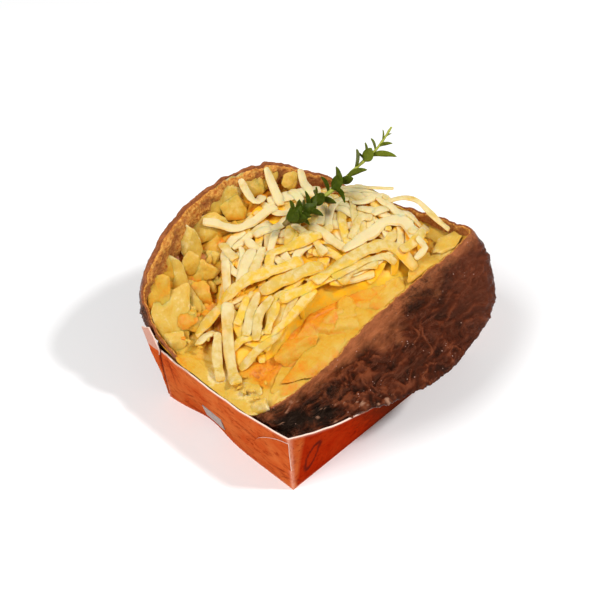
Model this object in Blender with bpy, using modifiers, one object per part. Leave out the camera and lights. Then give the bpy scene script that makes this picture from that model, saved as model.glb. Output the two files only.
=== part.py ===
"""A split baked potato in a folded paper case, with grated cheese and a sprig of thyme on top.

Metres, +Z up. The potato's long axis lies along X, the low near end of the split at -X and the rounded
far end at +X. The tall opened half of the skin stands on the +Y side, the closed half curls over on the
-Y side. The case stands on z = 0.
"""

import math

import bmesh
import bpy
from mathutils import Vector
from mathutils.bvhtree import BVHTree

OBJECT = "baked_potato"
MM = 0.001
TURN = 2 * math.pi

# The paper case: a rectangular floor and four walls folded up from one sheet
FLOOR_LENGTH = 96.0 * MM
FLOOR_WIDTH = 64.0 * MM
WALL_SLANT = 29.0 * MM
EDGE_TILT = 1.3 * MM
END_FLARE = 3.3 * MM
SIDE_FLARE = 1.0 * MM
END_BOW = 1.8 * MM
SIDE_BOW = 10.5 * MM
SIDE_BOW_POWER = {-1: 2.6, 1: 4.0}
PAPER = 0.6 * MM
DENT = 2.6 * MM
DENT_PLACE = 13.0 * MM
DENT_REACH = 12.0 * MM
DENT_FADE = 4
END_STEPS = 10
SIDE_STEPS = 14
WALL_STEPS = 4
HALVINGS = 30

# The potato: how far it stays off the paper, and its two level sections inside the case
TOUCH_GAP = 0.5 * MM
LIP_INSET = 1.9 * MM
LIP_BELOW_RIM = 4.5 * MM
LIP_ROUNDS = 4
FOOT = (38.0 * MM, 23.0 * MM, 1.0 * MM)
SIDE = (46.3 * MM, 31.3 * MM, 13.0 * MM)
SECTION_POWER = 3.2
# The skin above the case: a belly that clears the lip, a shoulder that stands out under the rim, and the rim
BELLY_CLEAR = 1.0 * MM
LOW_BELLY = 0.35
SHOULDER = 0.55
SHOULDER_BULGE = 2.4 * MM
SHOULDER_FULL = 24.0 * MM
SHOULDER_LIFT = 0.35
SKIN = 2.0 * MM
SKIN_UNDER = 1.4
COLUMNS = 64
SKIN_STEPS = (1, 2, 3, 2, 2, 3)
RIM_STEP = 0.2
FLESH_RINGS = 9
FLESH_BLEND = 0.4

# Stations round the potato, from the middle of the near end, by the closed half, the far end and the opened
# half: the widest line of the skin, the torn rim above it, and how far the flesh lies below it (all in mm)
STATIONS = [
    # belly x, y, z          rim x, y, z          drop
    ((-49.6, 5.0, 25.5), (-49.4, 3.0, 28.0), 0.4),
    ((-45.5, -29.0, 25.0), (-46.5, -16.0, 27.5), 0.4),
    ((-22.0, -43.5, 32.0), (-21.0, -21.5, 33.0), 0.6),
    ((-4.0, -48.5, 32.0), (-2.0, -22.0, 39.5), 0.8),
    ((16.0, -50.0, 32.0), (17.0, -22.5, 42.5), 0.8),
    ((34.0, -47.5, 32.0), (34.0, -23.0, 45.5), 1.5),
    ((49.5, -40.0, 32.5), (53.5, -24.5, 51.5), 3.0),
    ((58.0, -27.0, 33.0), (56.0, -12.0, 47.5), 4.0),
    ((60.0, 0.0, 33.0), (55.5, 6.0, 44.0), 3.0),
    ((53.0, 24.0, 33.0), (49.0, 25.0, 43.5), 3.0),
    ((40.5, 38.5, 34.0), (40.0, 38.0, 51.0), 4.0),
    ((18.0, 47.5, 35.0), (16.5, 47.0, 65.0), 8.0),
    ((-12.0, 49.5, 35.0), (-13.0, 49.5, 66.0), 11.0),
    ((-36.0, 47.0, 34.0), (-37.5, 45.5, 60.5), 10.0),
    ((-47.5, 41.0, 32.0), (-49.0, 41.5, 45.0), 5.0),
    ((-50.2, 25.0, 26.5), (-50.6, 28.0, 30.5), 1.0),
]

# Heights that the flesh passes through inside the split, as x, y, z (mm)
FLESH_MARKS = [
    (-46.0, 2.0, 29.0),
    (-44.0, 26.0, 34.0),
    (-30.0, 28.0, 38.0),
    (-15.0, 40.0, 50.0),
    (-20.0, 12.0, 38.0),
    (-31.0, -7.0, 30.5),
    (-34.0, -14.0, 31.0),
    (-12.0, -14.0, 37.0),
    (8.0, -14.0, 42.5),
    (5.0, 12.0, 44.0),
    (10.0, 36.0, 52.0),
    (32.0, 26.0, 48.0),
    (34.0, -8.0, 45.0),
    (52.0, 4.0, 42.0),
]
MARK_REACH = 11.0 * MM
SPLIT_CENTRE = Vector((4.0 * MM, 10.0 * MM, 0.0))

# The heap of grated cheese: its outline on the flesh as x, y, and heights of its top as x, y, z (mm)
HEAP_OUTLINE = [
    (-44.0, 1.0),
    (-30.0, -6.0),
    (-14.0, -3.0),
    (6.0, -9.0),
    (20.0, -18.0),
    (42.0, -18.5),
    (51.0, -11.5),
    (52.0, 10.0),
    (40.0, 31.0),
    (9.0, 42.0),
    (-17.0, 39.5),
    (-34.0, 21.0),
]
HEAP_MARKS = [
    (-42.0, 0.0, 33.5),
    (-30.0, 8.0, 42.0),
    (-16.0, 20.0, 49.0),
    (-12.0, 36.0, 56.0),
    (4.0, 20.0, 56.0),
    (2.0, 2.0, 50.0),
    (10.0, 38.0, 60.0),
    (24.0, 12.0, 59.0),
    (22.0, -12.0, 52.0),
    (35.0, 27.0, 59.0),
    (42.0, 6.0, 62.0),
    (42.0, -16.0, 56.0),
    (50.0, 4.0, 56.0),
    (50.0, -12.0, 54.0),
]
HEAP_CENTRE = (-2.0 * MM, 14.0 * MM)
HEAP_EDGE = 1.6 * MM
HEAP_SHOULDER = 10
HEAP_RINGS = 12
HEAP_COLUMNS = 64
STRAND_RELIEF = 0.9 * MM
STRAND_PITCH = 9.0 * MM
PIECE_GAP = 0.5 * MM
ABOVE_ALL = 0.2

# The thyme sprig: a stem that lies on the heap and rises past its far side, with pairs of leaves
SPRIG_ROUTE = [
    (1.0, 20.0, 60.5),
    (15.0, 18.5, 63.0),
    (29.0, 17.5, 66.0),
    (43.0, 17.2, 70.0),
    (55.5, 17.5, 75.6),
]
STEM_RADIUS = 0.75 * MM
STEM_TAPER = 0.45
STEM_STEPS = 16
WELD = 0.01 * MM
LEAF_PAIRS = 7
FIRST_LEAVES = 0.08
LAST_LEAVES = 0.96
LEAF_TURNS = (math.radians(20), math.radians(90))
LEAF_LENGTH = 7.5 * MM
LEAF_TIP_LENGTH = 4.5 * MM
LEAF_WIDTH = 3.4 * MM
LEAF_THICKNESS = 0.9 * MM
LEAF_PITCH = math.radians(48)
LEAF_ROOT = 0.06
LEAF_DROOP = 0.25
LEAF_LIFT = 0.35

PAPER_COLOUR = (0.56, 0.09, 0.03)
SKIN_COLOUR = (0.12, 0.04, 0.02)
CHEESE_COLOUR = (0.85, 0.56, 0.16)
THYME_COLOUR = (0.07, 0.10, 0.02)


def clear_scene():
    for obj in list(bpy.data.objects):
        bpy.data.objects.remove(obj, do_unlink=True)


def collection(name):
    made = bpy.data.collections.new(name)
    bpy.context.scene.collection.children.link(made)
    return made


def material(name, colour, roughness):
    made = bpy.data.materials.new(name)
    made.use_nodes = True
    shader = made.node_tree.nodes["Principled BSDF"]
    shader.inputs["Base Color"].default_value = (*colour, 1.0)
    shader.inputs["Roughness"].default_value = roughness
    shader.inputs["Metallic"].default_value = 0.0
    return made


def piece(name, mesh, finish):
    obj = bpy.data.objects.new(name, mesh)
    obj.data.materials.append(finish)
    PARTS.objects.link(obj)
    return obj


def smoothstep(low, high, value):
    part = min(max((value - low) / (high - low), 0.0), 1.0)
    return part * part * (3 - 2 * part)


def spline(points, place, closed):
    """The Catmull-Rom curve through the points; place counts them from 0."""
    count = len(points)
    start = math.floor(place)
    part = place - start

    def at(index):
        index = index % count if closed else min(max(index, 0), count - 1)
        return Vector(points[index])

    before, here, there, after = (at(start + step) for step in (-1, 0, 1, 2))
    return 0.5 * (
        2 * here
        + (there - before) * part
        + (2 * before - 5 * here + 4 * there - after) * part**2
        + (3 * here - before - 3 * there + after) * part**3
    )


def loft(name, rings, first_pole, last_pole):
    """A closed mesh through rings of equal count, with a point closing each end."""
    mesh = bpy.data.meshes.new(name)
    shape = bmesh.new()
    rows = [[shape.verts.new(point) for point in ring] for ring in rings]
    count = len(rings[0])
    for row, above in zip(rows, rows[1:]):
        for k in range(count):
            after = (k + 1) % count
            shape.faces.new((row[k], row[after], above[after], above[k]))
    for row, pole in ((rows[0], first_pole), (rows[-1], last_pole)):
        tip = shape.verts.new(pole)
        for k in range(count):
            shape.faces.new((tip, row[(k + 1) % count], row[k]))
    bmesh.ops.recalc_face_normals(shape, faces=shape.faces)
    bmesh.ops.triangulate(shape, faces=shape.faces)
    shape.to_mesh(mesh)
    shape.free()
    mesh.shade_smooth()
    return mesh


# ---- the paper case


def wall_height(y, out):
    """How high the wall's edge stands here, where it leans out this far. The edge falls towards +Y."""
    slant = WALL_SLANT - EDGE_TILT * max(min(y / (FLOOR_WIDTH / 2), 1.0), -1.0)
    return math.sqrt(slant**2 - out**2)


def end_lean(y):
    return END_FLARE + END_BOW * (1 - min(abs(y) / (FLOOR_WIDTH / 2), 1.0) ** 2)


def side_lean(x, side):
    along = min(abs(x) / (FLOOR_LENGTH / 2), 1.0)
    return SIDE_FLARE + SIDE_BOW * (1 - along ** SIDE_BOW_POWER[side])


def floor_dent(y):
    """How far the near wall's fold is pushed in along the floor."""
    depth = DENT * math.exp(-(((y - DENT_PLACE) / DENT_REACH) ** 2))
    return depth * max(1 - (2 * y / FLOOR_WIDTH) ** DENT_FADE, 0.0)


def inside_case(x, y, z):
    """Whether a point lies within the walls' inner faces."""
    side = 1 if y > 0 else -1
    rise = z / WALL_SLANT
    clear_x = FLOOR_LENGTH / 2 + end_lean(y) * rise - PAPER
    if x < 0:
        clear_x -= floor_dent(y) * (1 - rise) ** 2
    clear_y = FLOOR_WIDTH / 2 + side_lean(x, side) * rise - PAPER
    return abs(x) < clear_x and abs(y) < clear_y


def case_radius(angle, z):
    """How far the walls' inner faces are from the case's axis in this direction."""
    low, high = 0.0, FLOOR_LENGTH
    for _ in range(HALVINGS):
        middle = (low + high) / 2
        if inside_case(middle * math.cos(angle), middle * math.sin(angle), z):
            low = middle
        else:
            high = middle
    return low


def case_outline():
    """The floor's corners and the steps between them, anticlockwise, with which wall each stands under."""
    half_x, half_y = FLOOR_LENGTH / 2, FLOOR_WIDTH / 2
    corners = [(-half_x, -half_y), (half_x, -half_y), (half_x, half_y), (-half_x, half_y)]
    steps = (SIDE_STEPS, END_STEPS, SIDE_STEPS, END_STEPS)
    points = []
    for k, count in enumerate(steps):
        start, end = Vector(corners[k]), Vector(corners[(k + 1) % 4])
        points += [start.lerp(end, step / count) for step in range(count)]
    return points


def case_point(foot, rise):
    """A point of the walls' outer faces above this point of the floor's outline."""
    half_x, half_y = FLOOR_LENGTH / 2, FLOOR_WIDTH / 2
    on_end = math.isclose(abs(foot.x), half_x, abs_tol=WELD)
    on_side = math.isclose(abs(foot.y), half_y, abs_tol=WELD)
    side = 1 if foot.y > 0 else -1
    lean_x = end_lean(foot.y) if on_end else END_FLARE * abs(foot.x) / half_x
    lean_y = side_lean(foot.x, side) if on_side else SIDE_FLARE * abs(foot.y) / half_y
    height = wall_height(foot.y, lean_y if on_side else lean_x)
    x = foot.x + math.copysign(lean_x * rise, foot.x)
    if on_end and foot.x < 0:
        x += floor_dent(foot.y) * (1 - rise) ** 2
    y = foot.y + math.copysign(lean_y * rise, foot.y)
    return Vector((x, y, height * rise))


def make_case():
    shape = bmesh.new()
    outline = case_outline()
    rows = [
        [shape.verts.new(case_point(foot, step / WALL_STEPS)) for foot in outline]
        for step in range(WALL_STEPS + 1)
    ]
    shape.faces.new(list(reversed(rows[0])))
    for row, above in zip(rows, rows[1:]):
        for k in range(len(row)):
            after = (k + 1) % len(row)
            shape.faces.new((row[k], row[after], above[after], above[k]))
    mesh = bpy.data.meshes.new("paper_case")
    shape.to_mesh(mesh)
    shape.free()
    case = piece("paper_case", mesh, material("orange_paper", PAPER_COLOUR, 0.5))
    walls = case.modifiers.new("paper", "SOLIDIFY")
    walls.thickness = PAPER
    walls.offset = -1.0
    walls.use_even_offset = True


# ---- the potato


def column(place):
    """Belly, rim and drop at this place round the potato, which counts the stations from 0."""
    belly = spline([station[0] for station in STATIONS], place, True) * MM
    rim = spline([station[1] for station in STATIONS], place, True) * MM
    drop = spline([(station[2], 0.0) for station in STATIONS], place, True).x * MM
    return belly, rim, drop


def section_point(section, angle):
    """A point of a level, squared oval section in this direction from the case's axis."""
    half_x, half_y, height = section
    x, y = abs(math.cos(angle)) / half_x, abs(math.sin(angle)) / half_y
    radius = (x**SECTION_POWER + y**SECTION_POWER) ** (-1 / SECTION_POWER)
    return Vector((radius * math.cos(angle), radius * math.sin(angle), height))


def lip_point(angle, rim):
    """Where the skin leaves the case: just above the wall's edge, or below the rim where that is lower."""
    height = WALL_SLANT
    for _ in range(LIP_ROUNDS):
        radius = case_radius(angle, height)
        on_side = abs(radius * math.sin(angle)) > FLOOR_WIDTH / 2
        side = 1 if math.sin(angle) > 0 else -1
        lean = side_lean(radius * math.cos(angle), side) if on_side else END_FLARE
        height = wall_height(radius * math.sin(angle), lean)
    height = min(height + TOUCH_GAP, rim.z - LIP_BELOW_RIM)
    radius = case_radius(angle, height) - LIP_INSET
    return Vector((radius * math.cos(angle), radius * math.sin(angle), height))


def skin_column(place):
    """The outside of the potato from the foot to the rim at this place round it."""
    belly, rim, _ = column(place)
    angle = math.atan2(belly.y, belly.x)
    lip = lip_point(angle, rim)
    if belly.z < lip.z + BELLY_CLEAR:
        belly = lip.lerp(rim, LOW_BELLY)
    foot = section_point(FOOT, angle)
    inner = Vector((foot.x * 0.5, foot.y * 0.5, foot.z))
    out = Vector((math.cos(angle), math.sin(angle), SHOULDER_LIFT))
    tall = min((rim - belly).length / SHOULDER_FULL, 1.0)
    shoulder = belly.lerp(rim, SHOULDER) + out * SHOULDER_BULGE * tall
    stops = [inner, foot, section_point(SIDE, angle), lip, belly, shoulder, rim]
    points = [stops[0]]
    for k, count in enumerate(SKIN_STEPS):
        points += [spline(stops, k + (step + 1) / count, False) for step in range(count)]
    for point in points:
        if point.z < lip.z - TOUCH_GAP:
            limit = case_radius(angle, point.z) - TOUCH_GAP
            reach = math.hypot(point.x, point.y)
            if reach > limit:
                point.xy *= limit / reach
        point.z = max(point.z, FOOT[2])
    return points


def height_near(marks, x, y):
    """The height of a smooth surface that passes near the marks."""
    total = weight = 0.0
    for mark_x, mark_y, mark_z in marks:
        far = (x - mark_x * MM) ** 2 + (y - mark_y * MM) ** 2
        pull = math.exp(-far / (2 * MARK_REACH**2)) + 1e-6
        total += pull * mark_z * MM
        weight += pull
    return total / weight


def flesh_surface(rim_inner, part):
    """A point of the flesh, part of the way in from the skin to the middle of the split."""
    x = rim_inner.x + (SPLIT_CENTRE.x - rim_inner.x) * part
    y = rim_inner.y + (SPLIT_CENTRE.y - rim_inner.y) * part
    blend = smoothstep(0.0, FLESH_BLEND, part)
    return Vector((x, y, rim_inner.z * (1 - blend) + height_near(FLESH_MARKS, x, y) * blend))


def make_potato():
    columns = []
    for k in range(COLUMNS):
        place = k * len(STATIONS) / COLUMNS
        _, rim, drop = column(place)
        _, before, _ = column(place - RIM_STEP)
        _, after, _ = column(place + RIM_STEP)
        along = (after - before).normalized()
        inward = Vector((-along.y, along.x, 0.0)).normalized()
        edge = rim + inward * SKIN
        under = rim + inward * SKIN * SKIN_UNDER - Vector((0, 0, drop))
        flesh = [flesh_surface(under, step / FLESH_RINGS) for step in range(1, FLESH_RINGS)]
        columns.append([*skin_column(place), edge, under, *flesh])
    rings = list(zip(*columns))
    middle = SPLIT_CENTRE.copy()
    middle.z = height_near(FLESH_MARKS, middle.x, middle.y)
    mesh = loft("potato", rings, (0, 0, FOOT[2]), middle)
    piece("potato", mesh, material("baked_skin", SKIN_COLOUR, 0.45))


# ---- the grated cheese


def potato_top(x, y):
    """The height of the finished potato's flesh here, read from its own mesh."""
    place, _, _, _ = TOP_OF["potato"].ray_cast(Vector((x, y, ABOVE_ALL)), Vector((0, 0, -1)))
    return place.z if place else height_near(FLESH_MARKS, x, y)


def heap_point(angle_part, ring_part):
    """A point of the heap's outline, drawn in towards its centre."""
    edge = spline(HEAP_OUTLINE, angle_part * len(HEAP_OUTLINE), True) * MM
    x = HEAP_CENTRE[0] + (edge.x - HEAP_CENTRE[0]) * ring_part
    y = HEAP_CENTRE[1] + (edge.y - HEAP_CENTRE[1]) * ring_part
    return x, y


def strand_relief(x, y):
    """Shallow flutes, like the tops of strands that lie across each other."""
    bend = 0.6 * math.sin(TURN * x / (4 * STRAND_PITCH))
    first = math.sin(TURN * (y * 0.9 + x * 0.5) / STRAND_PITCH + bend)
    second = math.sin(TURN * (x * 0.8 - y * 0.6) / (1.3 * STRAND_PITCH) + 1.0)
    return STRAND_RELIEF * (0.6 * first + 0.4 * second)


def heap_depth(x, y, floor, part):
    """How deep the cheese lies here, part of the way out from the heap's centre."""
    top = height_near(HEAP_MARKS, x, y) + strand_relief(x, y)
    rise = max(top - floor - HEAP_EDGE, 0.0)
    return HEAP_EDGE + rise * (1 - part**HEAP_SHOULDER)


def make_heap():
    under, over = [], []
    for ring in range(1, HEAP_RINGS + 1):
        part = ring / HEAP_RINGS
        low, high = [], []
        for k in range(HEAP_COLUMNS):
            x, y = heap_point(k / HEAP_COLUMNS, part)
            floor = potato_top(x, y) + PIECE_GAP
            low.append((x, y, floor))
            high.append((x, y, floor + heap_depth(x, y, floor, part)))
        under.append(low)
        over.append(high)
    x, y = HEAP_CENTRE
    floor = potato_top(x, y) + PIECE_GAP
    mesh = loft(
        "cheese_heap",
        under + over[::-1],
        (x, y, floor),
        (x, y, floor + heap_depth(x, y, floor, 0.0)),
    )
    piece("cheese_heap", mesh, material("grated_cheese", CHEESE_COLOUR, 0.5))


# ---- the thyme sprig


def sprig_point(part):
    return spline(SPRIG_ROUTE, part * (len(SPRIG_ROUTE) - 1), False) * MM


def make_stem():
    curve = bpy.data.curves.new("stem", "CURVE")
    curve.dimensions = "3D"
    curve.bevel_depth = STEM_RADIUS
    curve.bevel_resolution = 1
    curve.use_fill_caps = True
    line = curve.splines.new("POLY")
    line.points.add(STEM_STEPS)
    for k, point in enumerate(line.points):
        part = k / STEM_STEPS
        point.co = (*sprig_point(part), 1.0)
        point.radius = 1.0 - STEM_TAPER * part
    guide = bpy.data.objects.new("stem_guide", curve)
    GUIDES.objects.link(guide)
    bpy.context.view_layer.update()
    graph = bpy.context.evaluated_depsgraph_get()
    mesh = bpy.data.meshes.new_from_object(guide.evaluated_get(graph))
    mesh.materials.clear()
    bpy.data.objects.remove(guide, do_unlink=True)
    shape = bmesh.new()
    shape.from_mesh(mesh)
    bmesh.ops.remove_doubles(shape, verts=shape.verts, dist=WELD)
    shape.to_mesh(mesh)
    shape.free()
    return mesh


def add_leaf(shape, root, forward, up, length):
    """A flat oval leaf from its root on the stem."""
    side = forward.cross(up).normalized()
    up = side.cross(forward).normalized()
    made = bmesh.ops.create_uvsphere(shape, u_segments=8, v_segments=5, radius=0.5)
    width = LEAF_WIDTH * length / LEAF_LENGTH
    for vert in made["verts"]:
        along, across, rise = vert.co.z + 0.5, vert.co.x, vert.co.y
        droop = -LEAF_DROOP * along**2 * length
        vert.co = (
            root
            + forward * ((along - LEAF_ROOT) * length)
            + side * (across * width)
            + up * (rise * LEAF_THICKNESS + droop)
        )


def make_sprig():
    stem = piece("thyme_sprig", make_stem(), material("thyme_green", THYME_COLOUR, 0.5))
    leaves = bpy.data.meshes.new("leaves")
    shape = bmesh.new()
    for pair in range(LEAF_PAIRS):
        part = FIRST_LEAVES + (LAST_LEAVES - FIRST_LEAVES) * pair / (LEAF_PAIRS - 1)
        root = sprig_point(part)
        along = (sprig_point(min(part + 0.02, 1.0)) - sprig_point(part - 0.02)).normalized()
        turn = LEAF_TURNS[pair % 2]
        level = Vector((0, 0, 1)).cross(along).normalized()
        above = along.cross(level)
        spread = level * math.cos(turn) + above * math.sin(turn)
        length = LEAF_LENGTH + (LEAF_TIP_LENGTH - LEAF_LENGTH) * part
        for way in (-1, 1):
            away = spread * way
            if away.z < 0 and part < 0.5:
                away = Vector((away.x, away.y, -LEAF_LIFT * away.z)).normalized()
            forward = (along * math.cos(LEAF_PITCH) + away * math.sin(LEAF_PITCH)).normalized()
            add_leaf(shape, root, forward, above, length)
    bmesh.ops.recalc_face_normals(shape, faces=shape.faces)
    shape.to_mesh(leaves)
    shape.free()
    cutter = bpy.data.objects.new("leaf_cutter", leaves)
    GUIDES.objects.link(cutter)
    cutter.hide_render = True
    cutter.display_type = "WIRE"
    join = stem.modifiers.new("leaves", "BOOLEAN")
    join.operation = "UNION"
    join.solver = "EXACT"
    join.object = cutter
    join.use_self = True


def surface_tree(name):
    """The named part's finished surface, for reading heights."""
    bpy.context.view_layer.update()
    graph = bpy.context.evaluated_depsgraph_get()
    return BVHTree.FromObject(PARTS.objects[name], graph)


clear_scene()
PARTS = collection(OBJECT)
GUIDES = collection("cutters")
TOP_OF = {}
make_case()
make_potato()
TOP_OF["potato"] = surface_tree("potato")
make_heap()
make_sprig()
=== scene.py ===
"""A split baked potato in its folded paper case, under grated cheese and thyme: the finished looks.

The packed CAD model gives the place and size of everything here. Each operator builds one piece, or one group
of like pieces, over the CAD solid that it stands for. Lengths are metres, +Z is up, and the case stands on
z = 0.
"""

import math

import bmesh
import bpy
import numpy as np
from mathutils import Matrix, Vector
from mathutils.bvhtree import BVHTree


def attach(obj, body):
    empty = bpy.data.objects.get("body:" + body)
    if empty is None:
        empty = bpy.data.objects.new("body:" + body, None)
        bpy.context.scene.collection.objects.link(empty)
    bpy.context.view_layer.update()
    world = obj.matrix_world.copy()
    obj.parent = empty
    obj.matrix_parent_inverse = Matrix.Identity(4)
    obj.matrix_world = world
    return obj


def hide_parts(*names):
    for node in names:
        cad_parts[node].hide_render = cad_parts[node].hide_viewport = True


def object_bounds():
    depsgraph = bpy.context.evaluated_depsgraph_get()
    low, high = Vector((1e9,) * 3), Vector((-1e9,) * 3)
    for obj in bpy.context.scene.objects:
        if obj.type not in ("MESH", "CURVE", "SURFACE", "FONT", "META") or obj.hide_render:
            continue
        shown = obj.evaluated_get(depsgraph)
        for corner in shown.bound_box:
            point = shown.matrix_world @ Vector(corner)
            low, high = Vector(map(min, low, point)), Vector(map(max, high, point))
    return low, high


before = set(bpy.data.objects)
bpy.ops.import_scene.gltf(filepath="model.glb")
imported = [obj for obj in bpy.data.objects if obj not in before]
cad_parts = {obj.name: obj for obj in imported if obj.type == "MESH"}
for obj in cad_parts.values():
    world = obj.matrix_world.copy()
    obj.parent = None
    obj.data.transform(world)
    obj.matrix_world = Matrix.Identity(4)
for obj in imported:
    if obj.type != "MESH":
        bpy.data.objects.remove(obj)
CAD_LOW, CAD_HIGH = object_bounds()

bl_info = {
    "name": "Baked potato in a paper case",
    "version": (1, 0, 0),
    "blender": (4, 5, 0),
    "location": "3D View > Sidebar > Baked potato",
    "description": "Builds the skin, flesh, grated cheese, thyme and paper case of a split baked potato",
    "category": "Add Mesh",
}

MM = 0.001
UP = np.array([0.0, 0.0, 1.0])

# Stations round the potato, from the middle of the near end, by the closed half, the far end and the opened
# half: the widest line of the skin, the torn rim above it, and how far the flesh lies below that rim (mm)
STATIONS = [
    # belly x, y, z          rim x, y, z          drop
    ((-49.6, 5, 25.5), (-49.4, 3, 28), 0.4),
    ((-45.5, -29, 25), (-46.5, -16, 27.5), 0.4),
    ((-22, -43.5, 32), (-21, -21.5, 33), 0.6),
    ((-4, -48.5, 32), (-2, -22, 39.5), 0.8),
    ((16, -50, 32), (17, -22.5, 42.5), 0.8),
    ((34, -47.5, 32), (34, -23, 45.5), 1.5),
    ((49.5, -40, 32.5), (53.5, -24.5, 51.5), 3),
    ((58, -27, 33), (56, -12, 47.5), 4),
    ((60, 0, 33), (55.5, 6, 44), 3),
    ((53, 24, 33), (49, 25, 43.5), 3),
    ((40.5, 38.5, 34), (40, 38, 51), 4),
    ((18, 47.5, 35), (16.5, 47, 65), 8),
    ((-12, 49.5, 35), (-13, 49.5, 66), 11),
    ((-36, 47, 34), (-37.5, 45.5, 60.5), 10),
    ((-47.5, 41, 32), (-49, 41.5, 45), 5),
    ((-50.2, 25, 26.5), (-50.6, 28, 30.5), 1),
]

# Heights that the flesh passes through inside the split, as x, y, z (mm)
FLESH_MARKS = [
    (-46, 2, 29), (-44, 26, 34), (-30, 28, 38), (-15, 40, 50), (-20, 12, 38),
    (-31, -7, 30.5), (-34, -14, 31), (-12, -14, 37), (8, -14, 42.5), (5, 12, 44),
    (10, 36, 52), (32, 26, 48), (34, -8, 45), (52, 4, 42),
]
MARK_REACH = 11.0 * MM  # how far a mark pulls the surface to itself
SPLIT_CENTRE = np.array([4.0, 10.0, 0.0]) * MM

# The heap of cheese: its outline on the flesh as x, y, and heights of its top as x, y, z (mm)
HEAP_OUTLINE = [
    (-44, 1), (-30, -6), (-14, -3), (6, -9), (20, -18), (42, -18.5), (51, -11.5),
    (52, 10), (40, 31), (9, 42), (-17, 39.5), (-34, 21),
]
HEAP_MARKS = [
    (-42, 0, 33.5), (-30, 8, 42), (-16, 20, 49), (-12, 36, 56), (4, 20, 56),
    (2, 2, 50), (10, 38, 60), (24, 12, 59), (22, -12, 52), (35, 27, 59),
    (42, 6, 62), (42, -16, 56), (50, 4, 56), (50, -12, 54),
]
HEAP_CENTRE = np.array([-2.0, 14.0]) * MM

# Strands of cheese that lie on top of the heap: width, then the places they pass over (mm)
LAID_STRANDS = [
    (3.4, (30, 40), (24, 29), (26, 20)),
    (3.2, (19, 37), (18, 28), (9, 24)),
    (3.4, (4, 45), (4.5, 38.5), (10, 40)),
    (3.4, (-4, 30), (3, 27), (10, 25)),
    (3.6, (-14, 37), (-15.5, 31.5), (-16.5, 27.5)),
    (3.4, (-19, 30), (-25.5, 22.5)),
    (4.6, (-9, 26.5), (-16, 22.5), (-22.5, 19)),
    (3.6, (-6, 24), (-13.5, 20), (-19.5, 17.5)),
    (3.4, (8, 22.5), (9, 14.5), (7.5, 6)),
    (3.2, (6, 17), (11, 14), (17, 11.5)),
    (3.4, (12, 17.5), (12.8, 11.5), (14.5, 2.5)),
    (3.8, (-10.5, 16.5), (-5.5, 19.5), (2.5, 16), (11, 11.5)),
    (4.2, (-29, 21.5), (-24, 19.5), (-18, 17.5), (-8, 13), (0, 10)),
    (4.6, (-18, 13), (-11, 9.5), (-4, 6), (3, 3)),
    (3.2, (-23, 15), (-32, 11)),
    (3.4, (-20, 12.5), (-26.5, 10), (-32, 6.5)),
    (3.4, (-17, 8.5), (-24, 8), (-31, 2.5)),
    (3.2, (-17.5, 5.5), (-23, 3.5), (-27, 1)),
    (3.4, (-32, 19), (-36, 21.5), (-41, 22.5)),
    (3.4, (-35, 17), (-40, 18.5), (-45, 17.5)),
    (3.4, (-37, 15.5), (-43, 10), (-48, 3)),
    (4.2, (-29, 18.5), (-37.5, 10), (-46.5, -3.5)),
    (3.6, (-16, 5), (-6, 0.5), (5, -4)),
    (3.2, (1.5, -3.5), (12, -5.5), (20, -9.5), (23, -14)),
    (4.8, (-4.5, -0.5), (7, -1.5), (21, -4.5), (25, -8), (28.5, -19)),
    (3.2, (18.5, 3.5), (26.5, 6.5), (29.5, 3.5)),
    (4.2, (12.5, 1.5), (25, -0.5), (32.5, -1), (37, -5), (34.5, -14)),
    (3.4, (31, 4), (38.5, 3.5)),
    (3.2, (39, 9), (39.5, 3), (38.5, -4)),
    (2.6, (33, 21), (41, 13), (49, 10)),
    (3.2, (34, -11), (42, -11)),
    (3.4, (26, -14), (36.5, -14), (46, -9)),
    (2.4, (30, -17.5), (34.5, -18), (33.5, -15)),
    (3.4, (10, 33), (4, 34.5), (-4, 35), (-10, 38.5), (-16, 44)),
    (3.6, (16, 44), (14.5, 38.5), (12, 32.5)),
]

# Strands that spring clear of the heap at the back: width, then the places they pass through (mm)
SPRUNG_STRANDS = [
    (1.5, (30, 24, 57.5), (36.4, 19.4, 58), (40.1, 13.8, 58.5), (45.6, 7.3, 58.5)),
    (
        2.4,
        (40.5, 7.5, 54.6),
        (44.8, 2, 57.6),
        (47.4, -2.9, 57.3),
        (47.6, -9.3, 55),
        (48, -13.8, 53),
        (49, -17.3, 51),
    ),
]

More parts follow.
